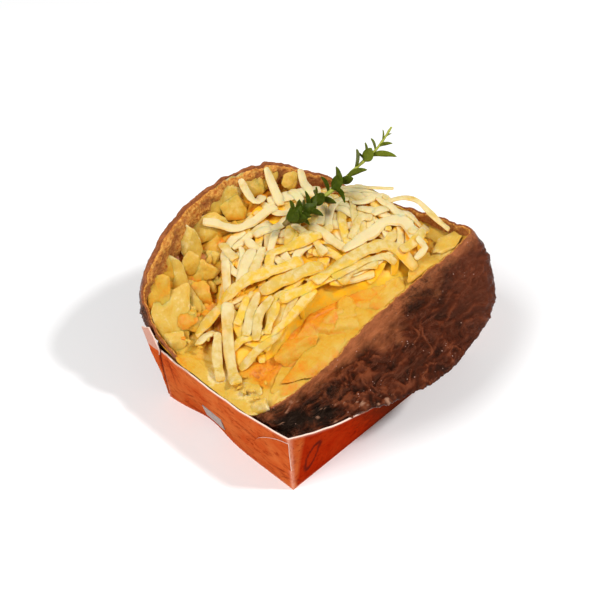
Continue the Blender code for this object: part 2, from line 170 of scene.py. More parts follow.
# Slabs of flesh that stand up from the bed: middle (mm), the way the face looks (degrees round and up), its
# turn in its own plane (degrees), width, height and thickness (mm), and how pale it is, golden 0 to pale 1
FLESH_SLABS = [
    ((-44.5, 31.5, 36.5), (-138, 32), 4, 14, 28, 1.8, 0.80),
    ((-43.5, 39, 43.5), (-140, 28), -6, 10, 17, 1.8, 0.40),
    ((-47.5, 27.5, 31), (-150, 32), -20, 9, 9, 1.8, 0.85),
    ((-35, 39, 47), (-130, 32), 10, 7.5, 15, 1.8, 0.85),
    ((-38, 42.5, 50.5), (-125, 26), -8, 9, 13, 1.8, 0.30),
    ((-36.5, 35, 41.5), (-140, 30), -14, 9, 9, 1.6, 0.55),
    ((-25, 42, 55), (-118, 30), 10, 9, 15, 1.8, 0.95),
    ((-28.5, 38, 49.5), (-120, 26), -18, 8, 10, 1.6, 0.65),
    ((-26, 34.5, 46.5), (-140, 28), 30, 10.5, 9, 1.6, 0.6),
    ((-31.5, 32, 41.5), (-150, 36), -12, 10, 9, 1.8, 0.4),
    ((-36.5, 24.5, 36.5), (-120, 56), 22, 10, 8, 1.8, 0.6),
    ((-39, 28.5, 35), (-110, 30), -30, 7, 8, 1.6, 0.7),
    ((-7, 46, 60.5), (-102, 26), 16, 25, 12, 2, 0.90),
    ((-14, 42.5, 56), (-118, 34), -10, 15, 9, 1.8, 0.85),
    ((7, 45, 61.5), (-97, 28), -6, 22, 10, 2, 0.95),
    ((-2, 42.5, 57.5), (-100, 38), 14, 12, 8, 1.8, 0.65),
    ((16, 43.5, 60.5), (-92, 28), 8, 13, 8, 2, 0.8),
    ((24.5, 38.5, 56.5), (-85, 30), -12, 9, 7, 1.8, 0.7),
    ((-45, 20.5, 29.4), (-150, 70), 26, 13, 8, 1.8, 0.65),
    ((-46.5, -6, 28.9), (-150, 78), 30, 14, 8, 1.4, 0.85),
    ((-46.5, -15, 29.2), (-130, 50), 16, 6, 5, 2.4, 1),
    ((-30, -14.5, 30.4), (-130, 77), 40, 18, 13, 1.4, 0.50),
    ((-17, -16.5, 34.4), (-133, 70), 44, 22, 12, 1.4, 0.45),
    ((1, -18, 38.8), (-122, 72), 38, 22, 9, 1.4, 0.50),
    ((-22, -8, 34.6), (-140, 60), 30, 16, 8, 1.4, 0.24),
    ((-6, -10.5, 39.2), (-130, 62), 30, 14, 6, 1.4, 0.28),
    ((16, -18.5, 42.2), (-112, 70), 20, 17, 7, 1.6, 0.60),
    ((33, -19, 45.8), (-100, 72), 14, 18, 6, 1.4, 0.70),
    ((45.5, -19, 48), (-105, 76), 14, 15, 6.5, 1.4, 0.85),
    ((49, 14, 45), (20, 50), 10, 13, 8, 1.8, 0.6),
    ((43, 27, 47.5), (50, 45), -14, 13, 8, 1.8, 0.6),
]

WRINKLED_CORNER = np.array([-38.0, -32.0, 28.0]) * MM
CRUMPLED_PATCH = np.array([-20.0, -36.0, 33.0]) * MM

# Small pale flakes of skin (mm)
FLAKES = [
    (-24, -41, 32.6), (-19.4, -43.6, 31.6), (-16.7, -45.3, 32.8), (-20, -42, 34.6),
    (-29, -35, 33),
]
FLAKE_SIZE = 1.0 * MM
FLAKE_HEIGHT = 0.45 * MM

# Places where the skin is charred: x, y, z and reach (mm), and strength
CHARRED = [
    (-42, -28, 27.5, 8.5, 1), (-35.5, -31.5, 29, 8, 0.95), (-27, -31, 31.5, 7, 0.55),
    (-46, -20, 28, 7, 0.7), (17, -26, 41.5, 7, 0.5), (26, -26.5, 43.5, 8, 0.6),
    (35, -27.5, 45, 7.5, 0.5), (-30, -26, 31.5, 5, 0.45), (53, -25, 48, 5, 0.5),
    (-50, 38, 40, 7, 0.5), (-22, 50, 62, 5, 0.7), (26, 49, 44, 10, 0.7),
    (54, 20, 38, 9, 0.6),
]

SPRIG_ROUTE = [
    (1, 20, 60.5), (15, 18.5, 63), (29, 17.5, 66), (43, 17.2, 70), (55.5, 17.5, 75.6),
]

# Leaves of the sprig: place along the stem, turn round it and pitch from it (degrees), length and width (mm)
LEAVES = [
    (0.02, 60, 24, 6, 4), (0.03, 200, 30, 6.5, 4.2), (0.07, 100, 30, 6.5, 4.4),
    (0.10, 200, 26, 6.5, 4.2), (0.13, 20, 24, 7, 4.4), (0.15, 140, 22, 6.5, 4.2),
    (0.19, 90, 26, 6.5, 4.2), (0.04, 120, 50, 6.5, 4.8), (0.06, 165, 42, 7, 4.8),
    (0.09, 30, 50, 7, 4.8), (0.11, 250, 60, 6, 4.2), (0.12, 85, 58, 6.5, 4),
    (0.16, 335, 40, 7.5, 4.2), (0.18, 200, 48, 7, 4.2), (0.20, 60, 62, 6.5, 3.7),
    (0.23, 120, 46, 7.5, 4.2), (0.25, 20, 38, 7, 4), (0.27, 350, 56, 7, 4),
    (0.29, 180, 52, 6.5, 4), (0.37, 20, 60, 7, 4), (0.39, 100, 40, 7.5, 4.5),
    (0.41, 175, 74, 5, 2.4), (0.43, 205, 104, 7.5, 4.2), (0.45, 45, 44, 7, 4.2),
    (0.47, 145, 50, 6, 3.4), (0.53, 190, 16, 8.5, 4.2), (0.62, 30, 34, 7.4, 6),
    (0.68, 100, 30, 6.2, 4.8), (0.70, 10, 78, 4.8, 1.6), (0.71, 25, 40, 6.6, 2.8),
    (0.75, 185, 46, 9.6, 3.8), (0.80, 20, 50, 5, 3.2), (0.83, 185, 36, 5.2, 2.6),
    (0.87, 20, 22, 4.6, 1.6), (0.90, 250, 22, 3.5, 1.4),
]


# ---- noise and curves


class Lattice:
    """Smooth gradient noise from about -1 to 1, the same at every run."""

    def __init__(self, seed):
        draw = np.random.default_rng(seed)
        self.order = np.tile(draw.permutation(256), 2)
        slopes = draw.normal(size=(256, 3))
        self.slopes = slopes / np.linalg.norm(slopes, axis=1)[:, None]

    def at(self, points):
        cell = np.floor(points).astype(int)
        part = points - cell
        fade = part**3 * (part * (part * 6 - 15) + 10)
        cell &= 255
        total = np.zeros(points.shape[:-1])
        for corner in np.ndindex(2, 2, 2):
            place = (cell + corner) & 255
            slope = self.slopes[
                self.order[self.order[self.order[place[..., 0]] + place[..., 1]] + place[..., 2]]
            ]
            weight = np.prod(np.where(corner, fade, 1 - fade), axis=-1)
            total += weight * np.sum(slope * (part - corner), axis=-1)
        return total * 1.7


LATTICE = Lattice(5)


def noise_at(points, size, octaves=1, shift=0.0):
    """Layered noise whose largest features are this size; each octave is half as large and as strong."""
    total, weight = 0.0, 1.0
    for octave in range(octaves):
        total = total + weight * LATTICE.at(points / size * 2**octave + shift + 17.3 * octave)
        weight *= 0.5
    return total


def ridges_at(points, size, octaves=1, shift=0.0):
    """Sharp folds between 0 and 1, about this far apart."""
    total, weight, whole = 0.0, 1.0, 0.0
    for octave in range(octaves):
        fold = 1 - np.abs(LATTICE.at(points / size * 2**octave + shift + 11.9 * octave))
        total = total + weight * np.clip(fold, 0, 1) ** 2
        whole += weight
        weight *= 0.5
    return total / whole


def smoothstep(low, high, value):
    part = np.clip((value - low) / (high - low), 0.0, 1.0)
    return part * part * (3 - 2 * part)


def bell(value):
    """1 where the value is 0, and less on either side of it."""
    return np.exp(-(value**2))


def near(points, middle, reach):
    """1 at the middle, and less the further a point is from it."""
    return np.exp(-np.sum(((points - middle) / reach) ** 2, axis=-1))


def points_at(*axes):
    """Points from their coordinates along each axis; a single number serves them all."""
    return np.stack(np.broadcast_arrays(*axes), axis=-1)


def spline_weights(count, places, closed):
    """For each place, the share of each of the points that a Catmull-Rom curve is drawn through."""
    start = np.floor(places).astype(int)
    if not closed:
        start = np.clip(start, 0, count - 2)
    part = places - start
    shares = (
        0.5 * (-part + 2 * part**2 - part**3),
        0.5 * (2 - 5 * part**2 + 3 * part**3),
        0.5 * (part + 4 * part**2 - 3 * part**3),
        0.5 * (part**3 - part**2),
    )
    weights = np.zeros((len(places), count))
    for step, share in zip((-1, 0, 1, 2), shares):
        index = (start + step) % count if closed else np.clip(start + step, 0, count - 1)
        np.add.at(weights, (np.arange(len(places)), index), share)
    return weights


def spline(points, places, closed=False):
    """Points of the Catmull-Rom curve through these points; places count them from 0."""
    points = np.asarray(points, float)
    return spline_weights(len(points), places, closed) @ points


def curve_through(points, count):
    """So many points along the open curve through these."""
    return spline(points, np.linspace(0, len(points) - 1, count))


def height_near(marks, x, y):
    """The height of a smooth surface that passes near the marks."""
    total, weight = 0.0, 0.0
    for mark_x, mark_y, mark_z in marks:
        far = (x - mark_x * MM) ** 2 + (y - mark_y * MM) ** 2
        pull = np.exp(-far / (2 * MARK_REACH**2)) + 1e-6
        total = total + pull * mark_z * MM
        weight = weight + pull
    return total / weight


# ---- meshes and objects


def new_mesh(name, points, faces=()):
    mesh = bpy.data.meshes.new(name)
    mesh.from_pydata(np.asarray(points).tolist(), [], faces)
    return mesh


def ring_faces(rows, count):
    """Indices of a grid of rings whose columns close on themselves, of each one's next, and its faces."""
    index = np.arange(rows * count).reshape(rows, count)
    after = np.roll(index, -1, axis=1)
    return index, after, points_at(index[:-1], after[:-1], after[1:], index[1:]).reshape(-1, 4)


def closed_surface(name, rings, first_pole, last_pole):
    """A closed mesh through rings of equal count, drawn to a point at each end; its faces point out."""
    rows, count = rings.shape[:2]
    points = np.vstack([rings.reshape(-1, 3), first_pole, last_pole])
    index, after, quads = ring_faces(rows, count)
    first = points_at(rows * count, after[0], index[0])
    last = points_at(rows * count + 1, index[-1], after[-1])
    corners = points[quads]
    volume = np.sum(corners[:, 0] * np.cross(corners[:, 1], corners[:, 2]))
    volume += np.sum(corners[:, 0] * np.cross(corners[:, 2], corners[:, 3]))
    for cap in (first, last):
        volume += np.sum(points[cap[:, 0]] * np.cross(points[cap[:, 1]], points[cap[:, 2]]))
    faces = quads.tolist() + first.tolist() + last.tolist()
    if volume < 0:
        faces = [face[::-1] for face in faces]
    mesh = new_mesh(name, points, faces)
    mesh.shade_smooth()
    return mesh


def paint(mesh, name, values):
    """Stores one number for each vertex, which the piece's material reads."""
    store = mesh.attributes.new(name, "FLOAT", "POINT")
    store.data.foreach_set("value", np.asarray(values, np.float32).ravel())


def at_vertices(mesh, name):
    """The mesh's own numbers for each vertex: its place, "co", or its "normal"."""
    values = np.empty(3 * len(mesh.vertices))
    mesh.vertices.foreach_get(name, values)
    return values.reshape(-1, 3)


def surface_normals(rings):
    """Unit normals of a grid of points whose columns close on themselves."""
    along = np.roll(rings, -1, axis=1) - np.roll(rings, 1, axis=1)
    up = np.gradient(rings, axis=0)
    normals = np.cross(along, up)
    return normals / np.maximum(np.linalg.norm(normals, axis=-1, keepdims=True), 1e-12)


def joined(name, meshes):
    """One mesh of several, which keeps their materials and painted numbers."""
    shape = bmesh.new()
    for mesh in meshes:
        shape.from_mesh(mesh)
    whole = bpy.data.meshes.new(name)
    shape.to_mesh(whole)
    shape.free()
    for mesh in meshes:
        bpy.data.meshes.remove(mesh)
    whole.shade_smooth()
    return whole


def modified_mesh(obj):
    """The object's mesh with its modifiers applied; the object itself is removed."""
    bpy.context.view_layer.update()
    graph = bpy.context.evaluated_depsgraph_get()
    mesh = bpy.data.meshes.new_from_object(obj.evaluated_get(graph))
    mesh.transform(obj.matrix_world)
    bpy.data.objects.remove(obj, do_unlink=True)
    return mesh


def finished(obj, name, slot, *nodes):
    """Makes the object a plain mesh at the origin, which rides on the frame and replaces its CAD nodes."""
    mesh = modified_mesh(obj)
    if not mesh.polygons:
        raise RuntimeError(f"{name} has no faces")
    mesh.name = name
    made = scene_object(name, mesh)
    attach(made, "root")
    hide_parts(*nodes)
    return made


def scene_object(name, data, *materials):
    obj = bpy.data.objects.new(name, data)
    bpy.context.scene.collection.objects.link(obj)
    for one in materials:
        data.materials.append(one)
    return obj


# ---- node trees


def feed(tree, socket, value):
    """Joins the socket to another one or to a node's first output, or else sets its value."""
    if isinstance(value, bpy.types.Node):
        value = value.outputs[0]
    if isinstance(value, bpy.types.NodeSocket):
        tree.links.new(value, socket)
    else:
        socket.default_value = value


def add(tree, kind, inputs=None, **settings):
    """A node with its settings and what feeds its inputs."""
    made = tree.nodes.new(kind)
    for key, value in settings.items():
        setattr(made, key, value)
    for key, value in (inputs or {}).items():
        feed(tree, made.inputs[key], value)
    return made


def tinted(colour, shares):
    """The colour times a share for each of its red, green and blue, or times one share for all."""
    return tuple(np.multiply(colour, shares))


class Finish:
    """A Principled material and the few nodes that every finish here is mixed from."""

    def __init__(self, name, roughness, specular, index=1.45):
        self.material = bpy.data.materials.new(name)
        self.material.use_nodes = True
        self.tree = self.material.node_tree
        self.shader = self.tree.nodes["Principled BSDF"]
        self.set("Roughness", roughness)
        self.set("Specular IOR Level", specular)
        self.set("IOR", index)
        self.place = add(self.tree, "ShaderNodeTexCoord").outputs["Object"]

    def set(self, name, value):
        feed(self.tree, self.shader.inputs[name], value)

    def painted(self, name):
        return add(self.tree, "ShaderNodeAttribute", attribute_name=name).outputs["Fac"]

    def axes(self):
        """The place along X, Y and Z."""
        return add(self.tree, "ShaderNodeSeparateXYZ", {"Vector": self.place}).outputs

    def noise(self, size, detail=4.0, roughness=0.55, distortion=0.0, stretch=None):
        inputs = {
            "Vector": self.place,
            "Scale": 1 / size,
            "Detail": detail,
            "Roughness": roughness,
            "Distortion": distortion,
        }
        if stretch:
            inputs["Vector"] = add(self.tree, "ShaderNodeMapping", {"Vector": self.place, "Scale": stretch})
        return add(self.tree, "ShaderNodeTexNoise", inputs).outputs["Fac"]

    def cells(self, size):
        inputs = {"Vector": self.place, "Scale": 1 / size}
        return add(self.tree, "ShaderNodeTexVoronoi", inputs).outputs["Distance"]

    def between(self, value, low, high, start=0.0, end=1.0):
        inputs = {"Value": value, "From Min": low, "From Max": high, "To Min": start, "To Max": end}
        return add(self.tree, "ShaderNodeMapRange", inputs).outputs["Result"]

    def maths(self, operation, first, second):
        return add(self.tree, "ShaderNodeMath", {0: first, 1: second}, operation=operation).outputs["Value"]

    def shifted(self, level, value, low, high, shift):
        """The level, moved down where the value is low and up by as much where it is high."""
        return self.maths("ADD", level, self.between(value, low, high, -shift, shift))

    def blend(self, factor, first, second):
        made = add(self.tree, "ShaderNodeMix", data_type="RGBA")
        for key, value in (("Factor", factor), ("A", first), ("B", second)):
            socket = next(s for s in made.inputs if s.name == key and s.enabled)
            if key != "Factor" and not isinstance(value, bpy.types.NodeSocket):
                value = (*value[:3], 1.0)
            feed(self.tree, socket, value)
        return next(s for s in made.outputs if s.enabled)

    def coat(self, base, colour, value, *limits):
        """The colour over the base, as far as the value is between its limits."""
        return self.blend(self.between(value, *limits), base, colour)

    def ramp(self, value, *stops):
        """Colours that follow each other as the value rises; a stop is a value from 0 to 1 and a colour."""
        made = add(self.tree, "ShaderNodeValToRGB", {"Fac": value})
        steps = made.color_ramp.elements
        while len(steps) < len(stops):
            steps.new(0.5)
        for step, (place, colour) in zip(steps, stops):
            step.position = place
            step.color = (*colour[:3], 1.0)
        return made.outputs["Color"]

    def bump(self, *layers):
        """Each layer is a height and how deep it is in metres."""
        normal = None
        for height, depth in layers:
            inputs = {"Height": height, "Distance": depth, "Strength": 1.0}
            if normal is not None:
                inputs["Normal"] = normal
            normal = add(self.tree, "ShaderNodeBump", inputs).outputs["Normal"]
        self.set("Normal", normal)

    def translucent(self, weight, depth, tint):
        self.set("Subsurface Weight", weight)
        self.set("Subsurface Scale", depth)
        self.set("Subsurface Radius", tint)


def shape_tree(name, sizes):
    """A geometry tree with the named inputs; returns it with its input and output nodes."""
    tree = bpy.data.node_groups.new(name, "GeometryNodeTree")
    tree.interface.new_socket("Geometry", in_out="INPUT", socket_type="NodeSocketGeometry")
    tree.interface.new_socket("Geometry", in_out="OUTPUT", socket_type="NodeSocketGeometry")
    for label, kind, default in sizes:
        socket = tree.interface.new_socket(label, in_out="INPUT", socket_type=kind)
        if default is not None:
            socket.default_value = default
    return tree, tree.nodes.new("NodeGroupInput"), tree.nodes.new("NodeGroupOutput")


def swept(tree, line, section):
    """The section swept along the line and scaled by its radius, with closed ends."""
    radius = add(tree, "GeometryNodeInputRadius")
    inputs = {"Curve": line, "Profile Curve": section, "Scale": radius, "Fill Caps": True}
    return add(tree, "GeometryNodeCurveToMesh", inputs)


def run_tree(obj, tree, **values):
    """Puts the tree on the object; each input is found by its name and set by its identifier."""
    modifier = obj.modifiers.new(tree.name, "NODES")
    modifier.node_group = tree
    for item in tree.interface.items_tree:
        label = item.name.lower().replace(" ", "_")
        if item.in_out == "INPUT" and label in values:
            modifier[item.identifier] = values[label]


def end_tree(tree, out, geometry, finish):
    """Every tree ends in real geometry with its material set."""
    real = add(tree, "GeometryNodeRealizeInstances", {"Geometry": geometry})
    smooth = add(tree, "GeometryNodeSetShadeSmooth", {"Geometry": real})
    last = add(tree, "GeometryNodeSetMaterial", {"Geometry": smooth, "Material": finish})
    feed(tree, out.inputs["Geometry"], last)


# ---- sizes and colours that a user may change


def number(name, description, default, **more):
    """A number that a user may change, with its limits and unit."""
    return bpy.props.FloatProperty(name=name, description=description, default=default, **more)


def length(name, description, default):
    return number(name, description, default, min=0.0, unit="LENGTH", precision=5)


def tint(name, description, default):
    return bpy.props.FloatVectorProperty(
        name=name, description=description, default=default, min=0.0, max=1.0, size=3, subtype="COLOR"
    )


class CaseSettings(bpy.types.PropertyGroup):
    """Sizes and colours of the folded paper case."""

    floor_length: length("Floor length", "Length of the case's floor", 96.0 * MM)
    floor_width: length("Floor width", "Width of the case's floor", 64.0 * MM)
    wall_slant: length("Wall", "Height of a wall along its own slope", 29.0 * MM)
    paper: length("Paper", "Thickness of the card", 0.55 * MM)
    waviness: length("Waviness", "How far the walls wave", 0.55 * MM)
    outside: tint("Outside", "Printed colour of the outside", (0.36, 0.018, 0.0023))
    inside: tint("Inside", "Colour of the card's inner face", (0.60, 0.30, 0.22))
    cut: tint("Cut edge", "Colour of the card where it is cut", (0.84, 0.62, 0.52))


class PotatoSettings(bpy.types.PropertyGroup):
    """Sizes and colours of the potato's skin and flesh."""

    wrinkle: length("Wrinkles", "Height of the skin's folds", 1.05 * MM)
    lumps: length("Lumps", "Height of the skin's broad lumps", 0.8 * MM)
    rim_jitter: length("Torn rim", "How unevenly the rim is torn", 0.9 * MM)
    skin: tint("Skin", "Colour of the baked skin", (0.062, 0.0105, 0.0030))
    # Painted shade in the skin's folds; the darker blotches use it too.
    skin_dark: tint("Dark skin", "Colour in the skin's folds", (0.016, 0.0032, 0.0012))
    skin_tan: tint("Tan skin", "Colour of the thin skin near the rim", (0.37, 0.115, 0.042))
    char: tint("Char", "Colour of the charred patches", (0.006, 0.003, 0.002))
    # Painted shade in the pockets next to the rim.
    pocket_shade: tint("Pockets", "Colour at the bottom of the deepest pockets", (0.30, 0.065, 0.012))
    golden: tint("Golden flesh", "Colour of the flesh in the hollows", (0.66, 0.220, 0.008))
    flesh: tint("Flesh", "Colour of the broken flesh", (0.60, 0.325, 0.027))
    pale: tint("Pale flesh", "Colour of the dry faces of the slabs", (0.62, 0.405, 0.074))
    edge: tint("Dry edges", "Colour of the slabs' thin edges", (0.76, 0.62, 0.32))


class CheeseSettings(bpy.types.PropertyGroup):
    """Sizes and colours of the grated cheese."""

    loose_strands: bpy.props.IntProperty(
        name="Loose strands", description="Strands that lie under the topmost ones", default=130, min=0
    )
    seed: bpy.props.IntProperty(name="Seed", description="Picks how the loose strands fall", default=4)
    depth: length("Depth over core", "How deep the strands lie over the heap's core", 5.5 * MM)
    headroom: length("Headroom", "Room that the loose strands leave for the topmost ones", 1.3 * MM)
    unevenness: length("Unevenness", "How uneven a strand's faces are", 0.28 * MM)
    butter: tint("Butter", "Colour of the strands in front", (0.70, 0.45, 0.050))
    cream: tint("Cream", "Colour of the strands at the top and back", (0.58, 0.395, 0.085))
    white: tint("White", "Colour of the palest strands", (0.67, 0.56, 0.30))
    # Painted shade between the strands; the core is mottled with it too.
    deep: tint("Deep", "Colour between the strands", (0.95, 0.46, 0.010))


class ThymeSettings(bpy.types.PropertyGroup):
    """Sizes and colours of the sprig."""

    stem_radius: length("Stem radius", "Radius of the stem at its foot", 0.90 * MM)
    leaf_size: number("Leaf size", "Scale of every leaf", 1.0, min=0.1)
    leaf: tint("Leaf", "Colour of a leaf's face", (0.042, 0.062, 0.003))
    young_leaf: tint("Young leaf", "Colour of the leaves near the tip", (0.19, 0.22, 0.018))
    stem: tint("Stem", "Colour of the stem", (0.36, 0.38, 0.050))
    foot: tint("Foot", "Colour of the stem's woody foot", (0.17, 0.10, 0.03))


class StageSettings(bpy.types.PropertyGroup):
    """The floor, lights and camera."""

    azimuth: number(
        "Azimuth", "Where the camera stands round the object", math.radians(-46), subtype="ANGLE"
    )
    elevation: number("Elevation", "How high the camera looks from", math.radians(43.5), subtype="ANGLE")
    distance: length("Distance", "From the camera to what it looks at", 0.515)
    lens: number("Lens", "Focal length", 85.0, unit="CAMERA")
    key_power: number("Key light", "Power of the main light", 8.4, unit="POWER")
    glint_power: number("Glint", "Power of the small light", 7.0, unit="POWER")
    surroundings: number("Surroundings", "Strength of the light from all round", 0.24, min=0.0)
    floor: tint("Floor", "Colour of the floor", (0.95, 0.95, 0.95))


# ---- the paper case

END_FLARE = 3.3 * MM
END_BOW = 1.8 * MM
SIDE_FLARE = 1.0 * MM
SIDE_BOW = 10.5 * MM
SIDE_BOW_POWER = {-1: 2.6, 1: 4.0}
EDGE_TILT = 1.3 * MM
DENT = 2.6 * MM
DENT_PLACE = 13.0 * MM
DENT_REACH = 12.0 * MM
WALL_STEPS = (150, 110)
WALL_RISES = 44
TOUCHING = 0.01 * MM  # points this near a wall's foot belong to the wall
CASE_SHARP = math.radians(35)


class CaseShape:
    """Points of the case's walls, from the place along the floor's outline and the rise up the wall."""

    def __init__(self, sizes):
        self.half_x = sizes.floor_length / 2
        self.half_y = sizes.floor_width / 2
        self.slant = sizes.wall_slant
        self.paper = sizes.paper

    def end_lean(self, y):
        return END_FLARE + END_BOW * (1 - np.minimum(np.abs(y) / self.half_y, 1.0) ** 2)

    def side_lean(self, x, side):
        power = np.where(side > 0, SIDE_BOW_POWER[1], SIDE_BOW_POWER[-1])
        along = np.minimum(np.abs(x) / self.half_x, 1.0)
        return SIDE_FLARE + SIDE_BOW * (1 - along**power)

    def floor_dent(self, y):
        return DENT * bell((y - DENT_PLACE) / DENT_REACH) * np.maximum(1 - (y / self.half_y) ** 4, 0.0)

    def height(self, y, lean):
        slant = self.slant - EDGE_TILT * np.clip(y / self.half_y, -1.0, 1.0)
        return np.sqrt(slant**2 - lean**2)

    def inside(self, x, y, z):
        rise = z / self.slant
        clear_x = self.half_x + self.end_lean(y) * rise - self.paper
        clear_x = clear_x - np.where(x < 0, self.floor_dent(y) * (1 - rise) ** 2, 0.0)
        clear_y = self.half_y + self.side_lean(x, np.where(y > 0, 1, -1)) * rise - self.paper
        return (np.abs(x) < clear_x) & (np.abs(y) < clear_y)

    def radius(self, angle, z):
        """How far the walls' inner faces are from the case's axis in this direction."""
        low = np.zeros(np.broadcast(angle, z).shape)
        high = low + 2 * self.half_x
        for _ in range(26):
            middle = (low + high) / 2
            within = self.inside(middle * np.cos(angle), middle * np.sin(angle), z)
            low = np.where(within, middle, low)
            high = np.where(within, high, middle)
        return low

    def wall(self, foot, rise):
        """Outer faces above points of the floor's outline."""
        x, y = foot[..., 0], foot[..., 1]
        on_end = np.abs(np.abs(x) - self.half_x) < TOUCHING
        on_side = np.abs(np.abs(y) - self.half_y) < TOUCHING
        lean_x = np.where(on_end, self.end_lean(y), END_FLARE * np.abs(x) / self.half_x)
        lean_y = np.where(on_side, self.side_lean(x, np.sign(y)), SIDE_FLARE * np.abs(y) / self.half_y)
        height = self.height(y, np.where(on_side, lean_y, lean_x))
        dent = np.where(on_end & (x < 0), self.floor_dent(y) * (1 - rise) ** 2, 0.0)
        x = x + np.sign(x) * lean_x * rise + dent
        y = y + np.sign(y) * lean_y * rise
        return points_at(x, y, height * rise)


TAB_CENTRE = (-32.5 * MM, 12.0 * MM)
TAB_REACH = (17.5 * MM, 16.0 * MM)
LABEL_LOW = (1.8 * MM, 5.2 * MM)
LABEL_HIGH = (12.2 * MM, 12.2 * MM)
TAB_PAPER = 0.3 * MM
LABEL_PAPER = 0.4 * MM

# The two edges of the ear, from its foot to its tip (mm)
EAR_LEFT = [
    (-48.4, 32.1, 2), (-50.3, 33, 14), (-51.8, 34.8, 22.5), (-52.3, 36.9, 29.2), (-52.2, 39.3, 34.4),
]
EAR_RIGHT = [
    (-48.5, 31.7, 2), (-50.6, 31.5, 14.5), (-51.9, 31.2, 23.5), (-52.5, 30.7, 29.6), (-52.2, 35.4, 36.4),
]
EAR_BENT = 28.5 * MM  # above this its inside shows
EAR_PRINTED = 26.0 * MM  # below this it is printed all round
OVAL_TOP = (-40.2 * MM, 22.5 * MM)
OVAL_FOOT = (-42.6 * MM, 8.0 * MM)
OVAL_WIDTH = 2.0 * MM
CREASE_WIDTH = 0.45 * MM

# Creases pressed into the end wall and the closed side's wall: from and to, as distance along and height, and
# depth (mm)
END_CREASES = [
    ((-9, 19.3), (-32, 11.4), 0.5),
    ((-4, 21), (-16, 15.6), 0.35),
    ((27.5, 27.5), (26, 10), 0.45),
    ((30, 27), (22, 13), 0.3),
    ((22, 9), (16, 12.5), 0.45),
    ((-20, 6.5), (-31, 8.5), 0.35),
    ((-26, 3), (-31.5, 6), 0.4),
    ((14, 13), (-6, 14.5), 0.25),
]
SIDE_CREASES = [
    ((-47, 5), (-44, 1.5), 0.4),
    ((-36, 26), (-30, 22), 0.2),
    ((-20, 20), (8, 24), 0.25),
    ((14, 8), (30, 14), 0.3),
]


def line_distance(u, v, start, end):
    """Distance of points on a wall from a crease, and how far along it they lie."""
    start, end = np.array(start) * MM, np.array(end) * MM
    way = end - start
    along = np.clip(((u - start[0]) * way[0] + (v - start[1]) * way[1]) / (way @ way), 0.0, 1.0)
    return np.hypot(u - start[0] - along * way[0], v - start[1] - along * way[1]), along


def press_creases(points, on_end, on_side):
    """How deep each point of the walls is pressed in by the creases."""
    pressed = np.zeros(points.shape[:-1])
    for creases, wall, axis in ((END_CREASES, on_end, 1), (SIDE_CREASES, on_side, 0)):
        for start, end, depth in creases:
            far, along = line_distance(points[..., axis], points[..., 2], start, end)
            fade = np.sin(np.pi * np.clip(along, 0.04, 0.96)) ** 0.5
            dip = depth * MM * bell(far / CREASE_WIDTH) * fade
            pressed = np.maximum(pressed, np.where(wall, dip, 0.0))
    return pressed


def case_mesh(shape, sizes):
    """The floor and four walls as one sheet, before it has its thickness."""
    half = (shape.half_x, shape.half_y)
    corners = np.array([(-1, -1), (1, -1), (1, 1), (-1, 1)]) * half
    feet = []
    for start, end, count in zip(corners, np.roll(corners, -1, axis=0), 2 * WALL_STEPS):
        feet.append(start + (end - start) * (np.arange(count) / count)[:, None])
    feet = np.vstack(feet)
    rise = np.linspace(0.0, 1.0, WALL_RISES)[:, None]
    rings = shape.wall(feet, rise)
    on_end, on_side = np.abs(feet + half).T < TOUCHING
    outward = rings - rings[:1]
    outward[..., 2] = 0.0
    outward /= np.maximum(np.linalg.norm(outward, axis=-1, keepdims=True), 1e-9)
    corner = (half - np.abs(feet)).max(axis=1)
    away = smoothstep(0.0, 8 * MM, corner) * smoothstep(0.0, 0.25, rise)
    wave = sizes.waviness * (noise_at(rings, 19 * MM, 1) + 0.35 * noise_at(rings, 6 * MM, 2)) * away
    pressed = press_creases(rings, on_end, on_side)
    rings = rings + outward * (wave - pressed)[..., None]
    edge = smoothstep(0.8, 1.0, rise) * away
    rings[..., 2] += 0.35 * MM * noise_at(rings, 9 * MM, 2, 3.0) * edge
    index, after, quads = ring_faces(*rings.shape[:2])
    floor = points_at(index.size, after[0], index[0])
    points = np.vstack([rings.reshape(-1, 3), (0.0, 0.0, 0.0)])
    mesh = new_mesh("paper_sheet", points, quads.tolist() + floor.tolist())
    fold = np.maximum(bell(corner / (0.9 * MM)), bell(rise / 0.018))
    paint(mesh, "crease", np.append(pressed / (0.5 * MM), 0.0))
    # The folds and the top edge: rubbed card, and a painted highlight along the folds.
    paint(mesh, "worn", np.append(np.maximum(fold, smoothstep(0.965, 1.0, rise)), 0.0))
    paint(mesh, "oval", np.append(oval_print(rings, on_side), 0.0))
    return mesh


def oval_print(points, on_side):
    """A plain slanted oval outline, printed on the closed side's wall."""
    top, foot = np.array(OVAL_TOP), np.array(OVAL_FOOT)
    way = (top - foot) / np.linalg.norm(top - foot)
    middle = (top + foot) / 2
    u, v = points[..., 0] - middle[0], points[..., 2] - middle[1]
    along = (u * way[0] + v * way[1]) / (np.linalg.norm(top - foot) / 2)
    across = (u * way[1] - v * way[0]) / OVAL_WIDTH
    ring = np.abs(np.hypot(along, across) - 1.0)
    return np.where(on_side, smoothstep(0.28, 0.08, ring), 0.0)


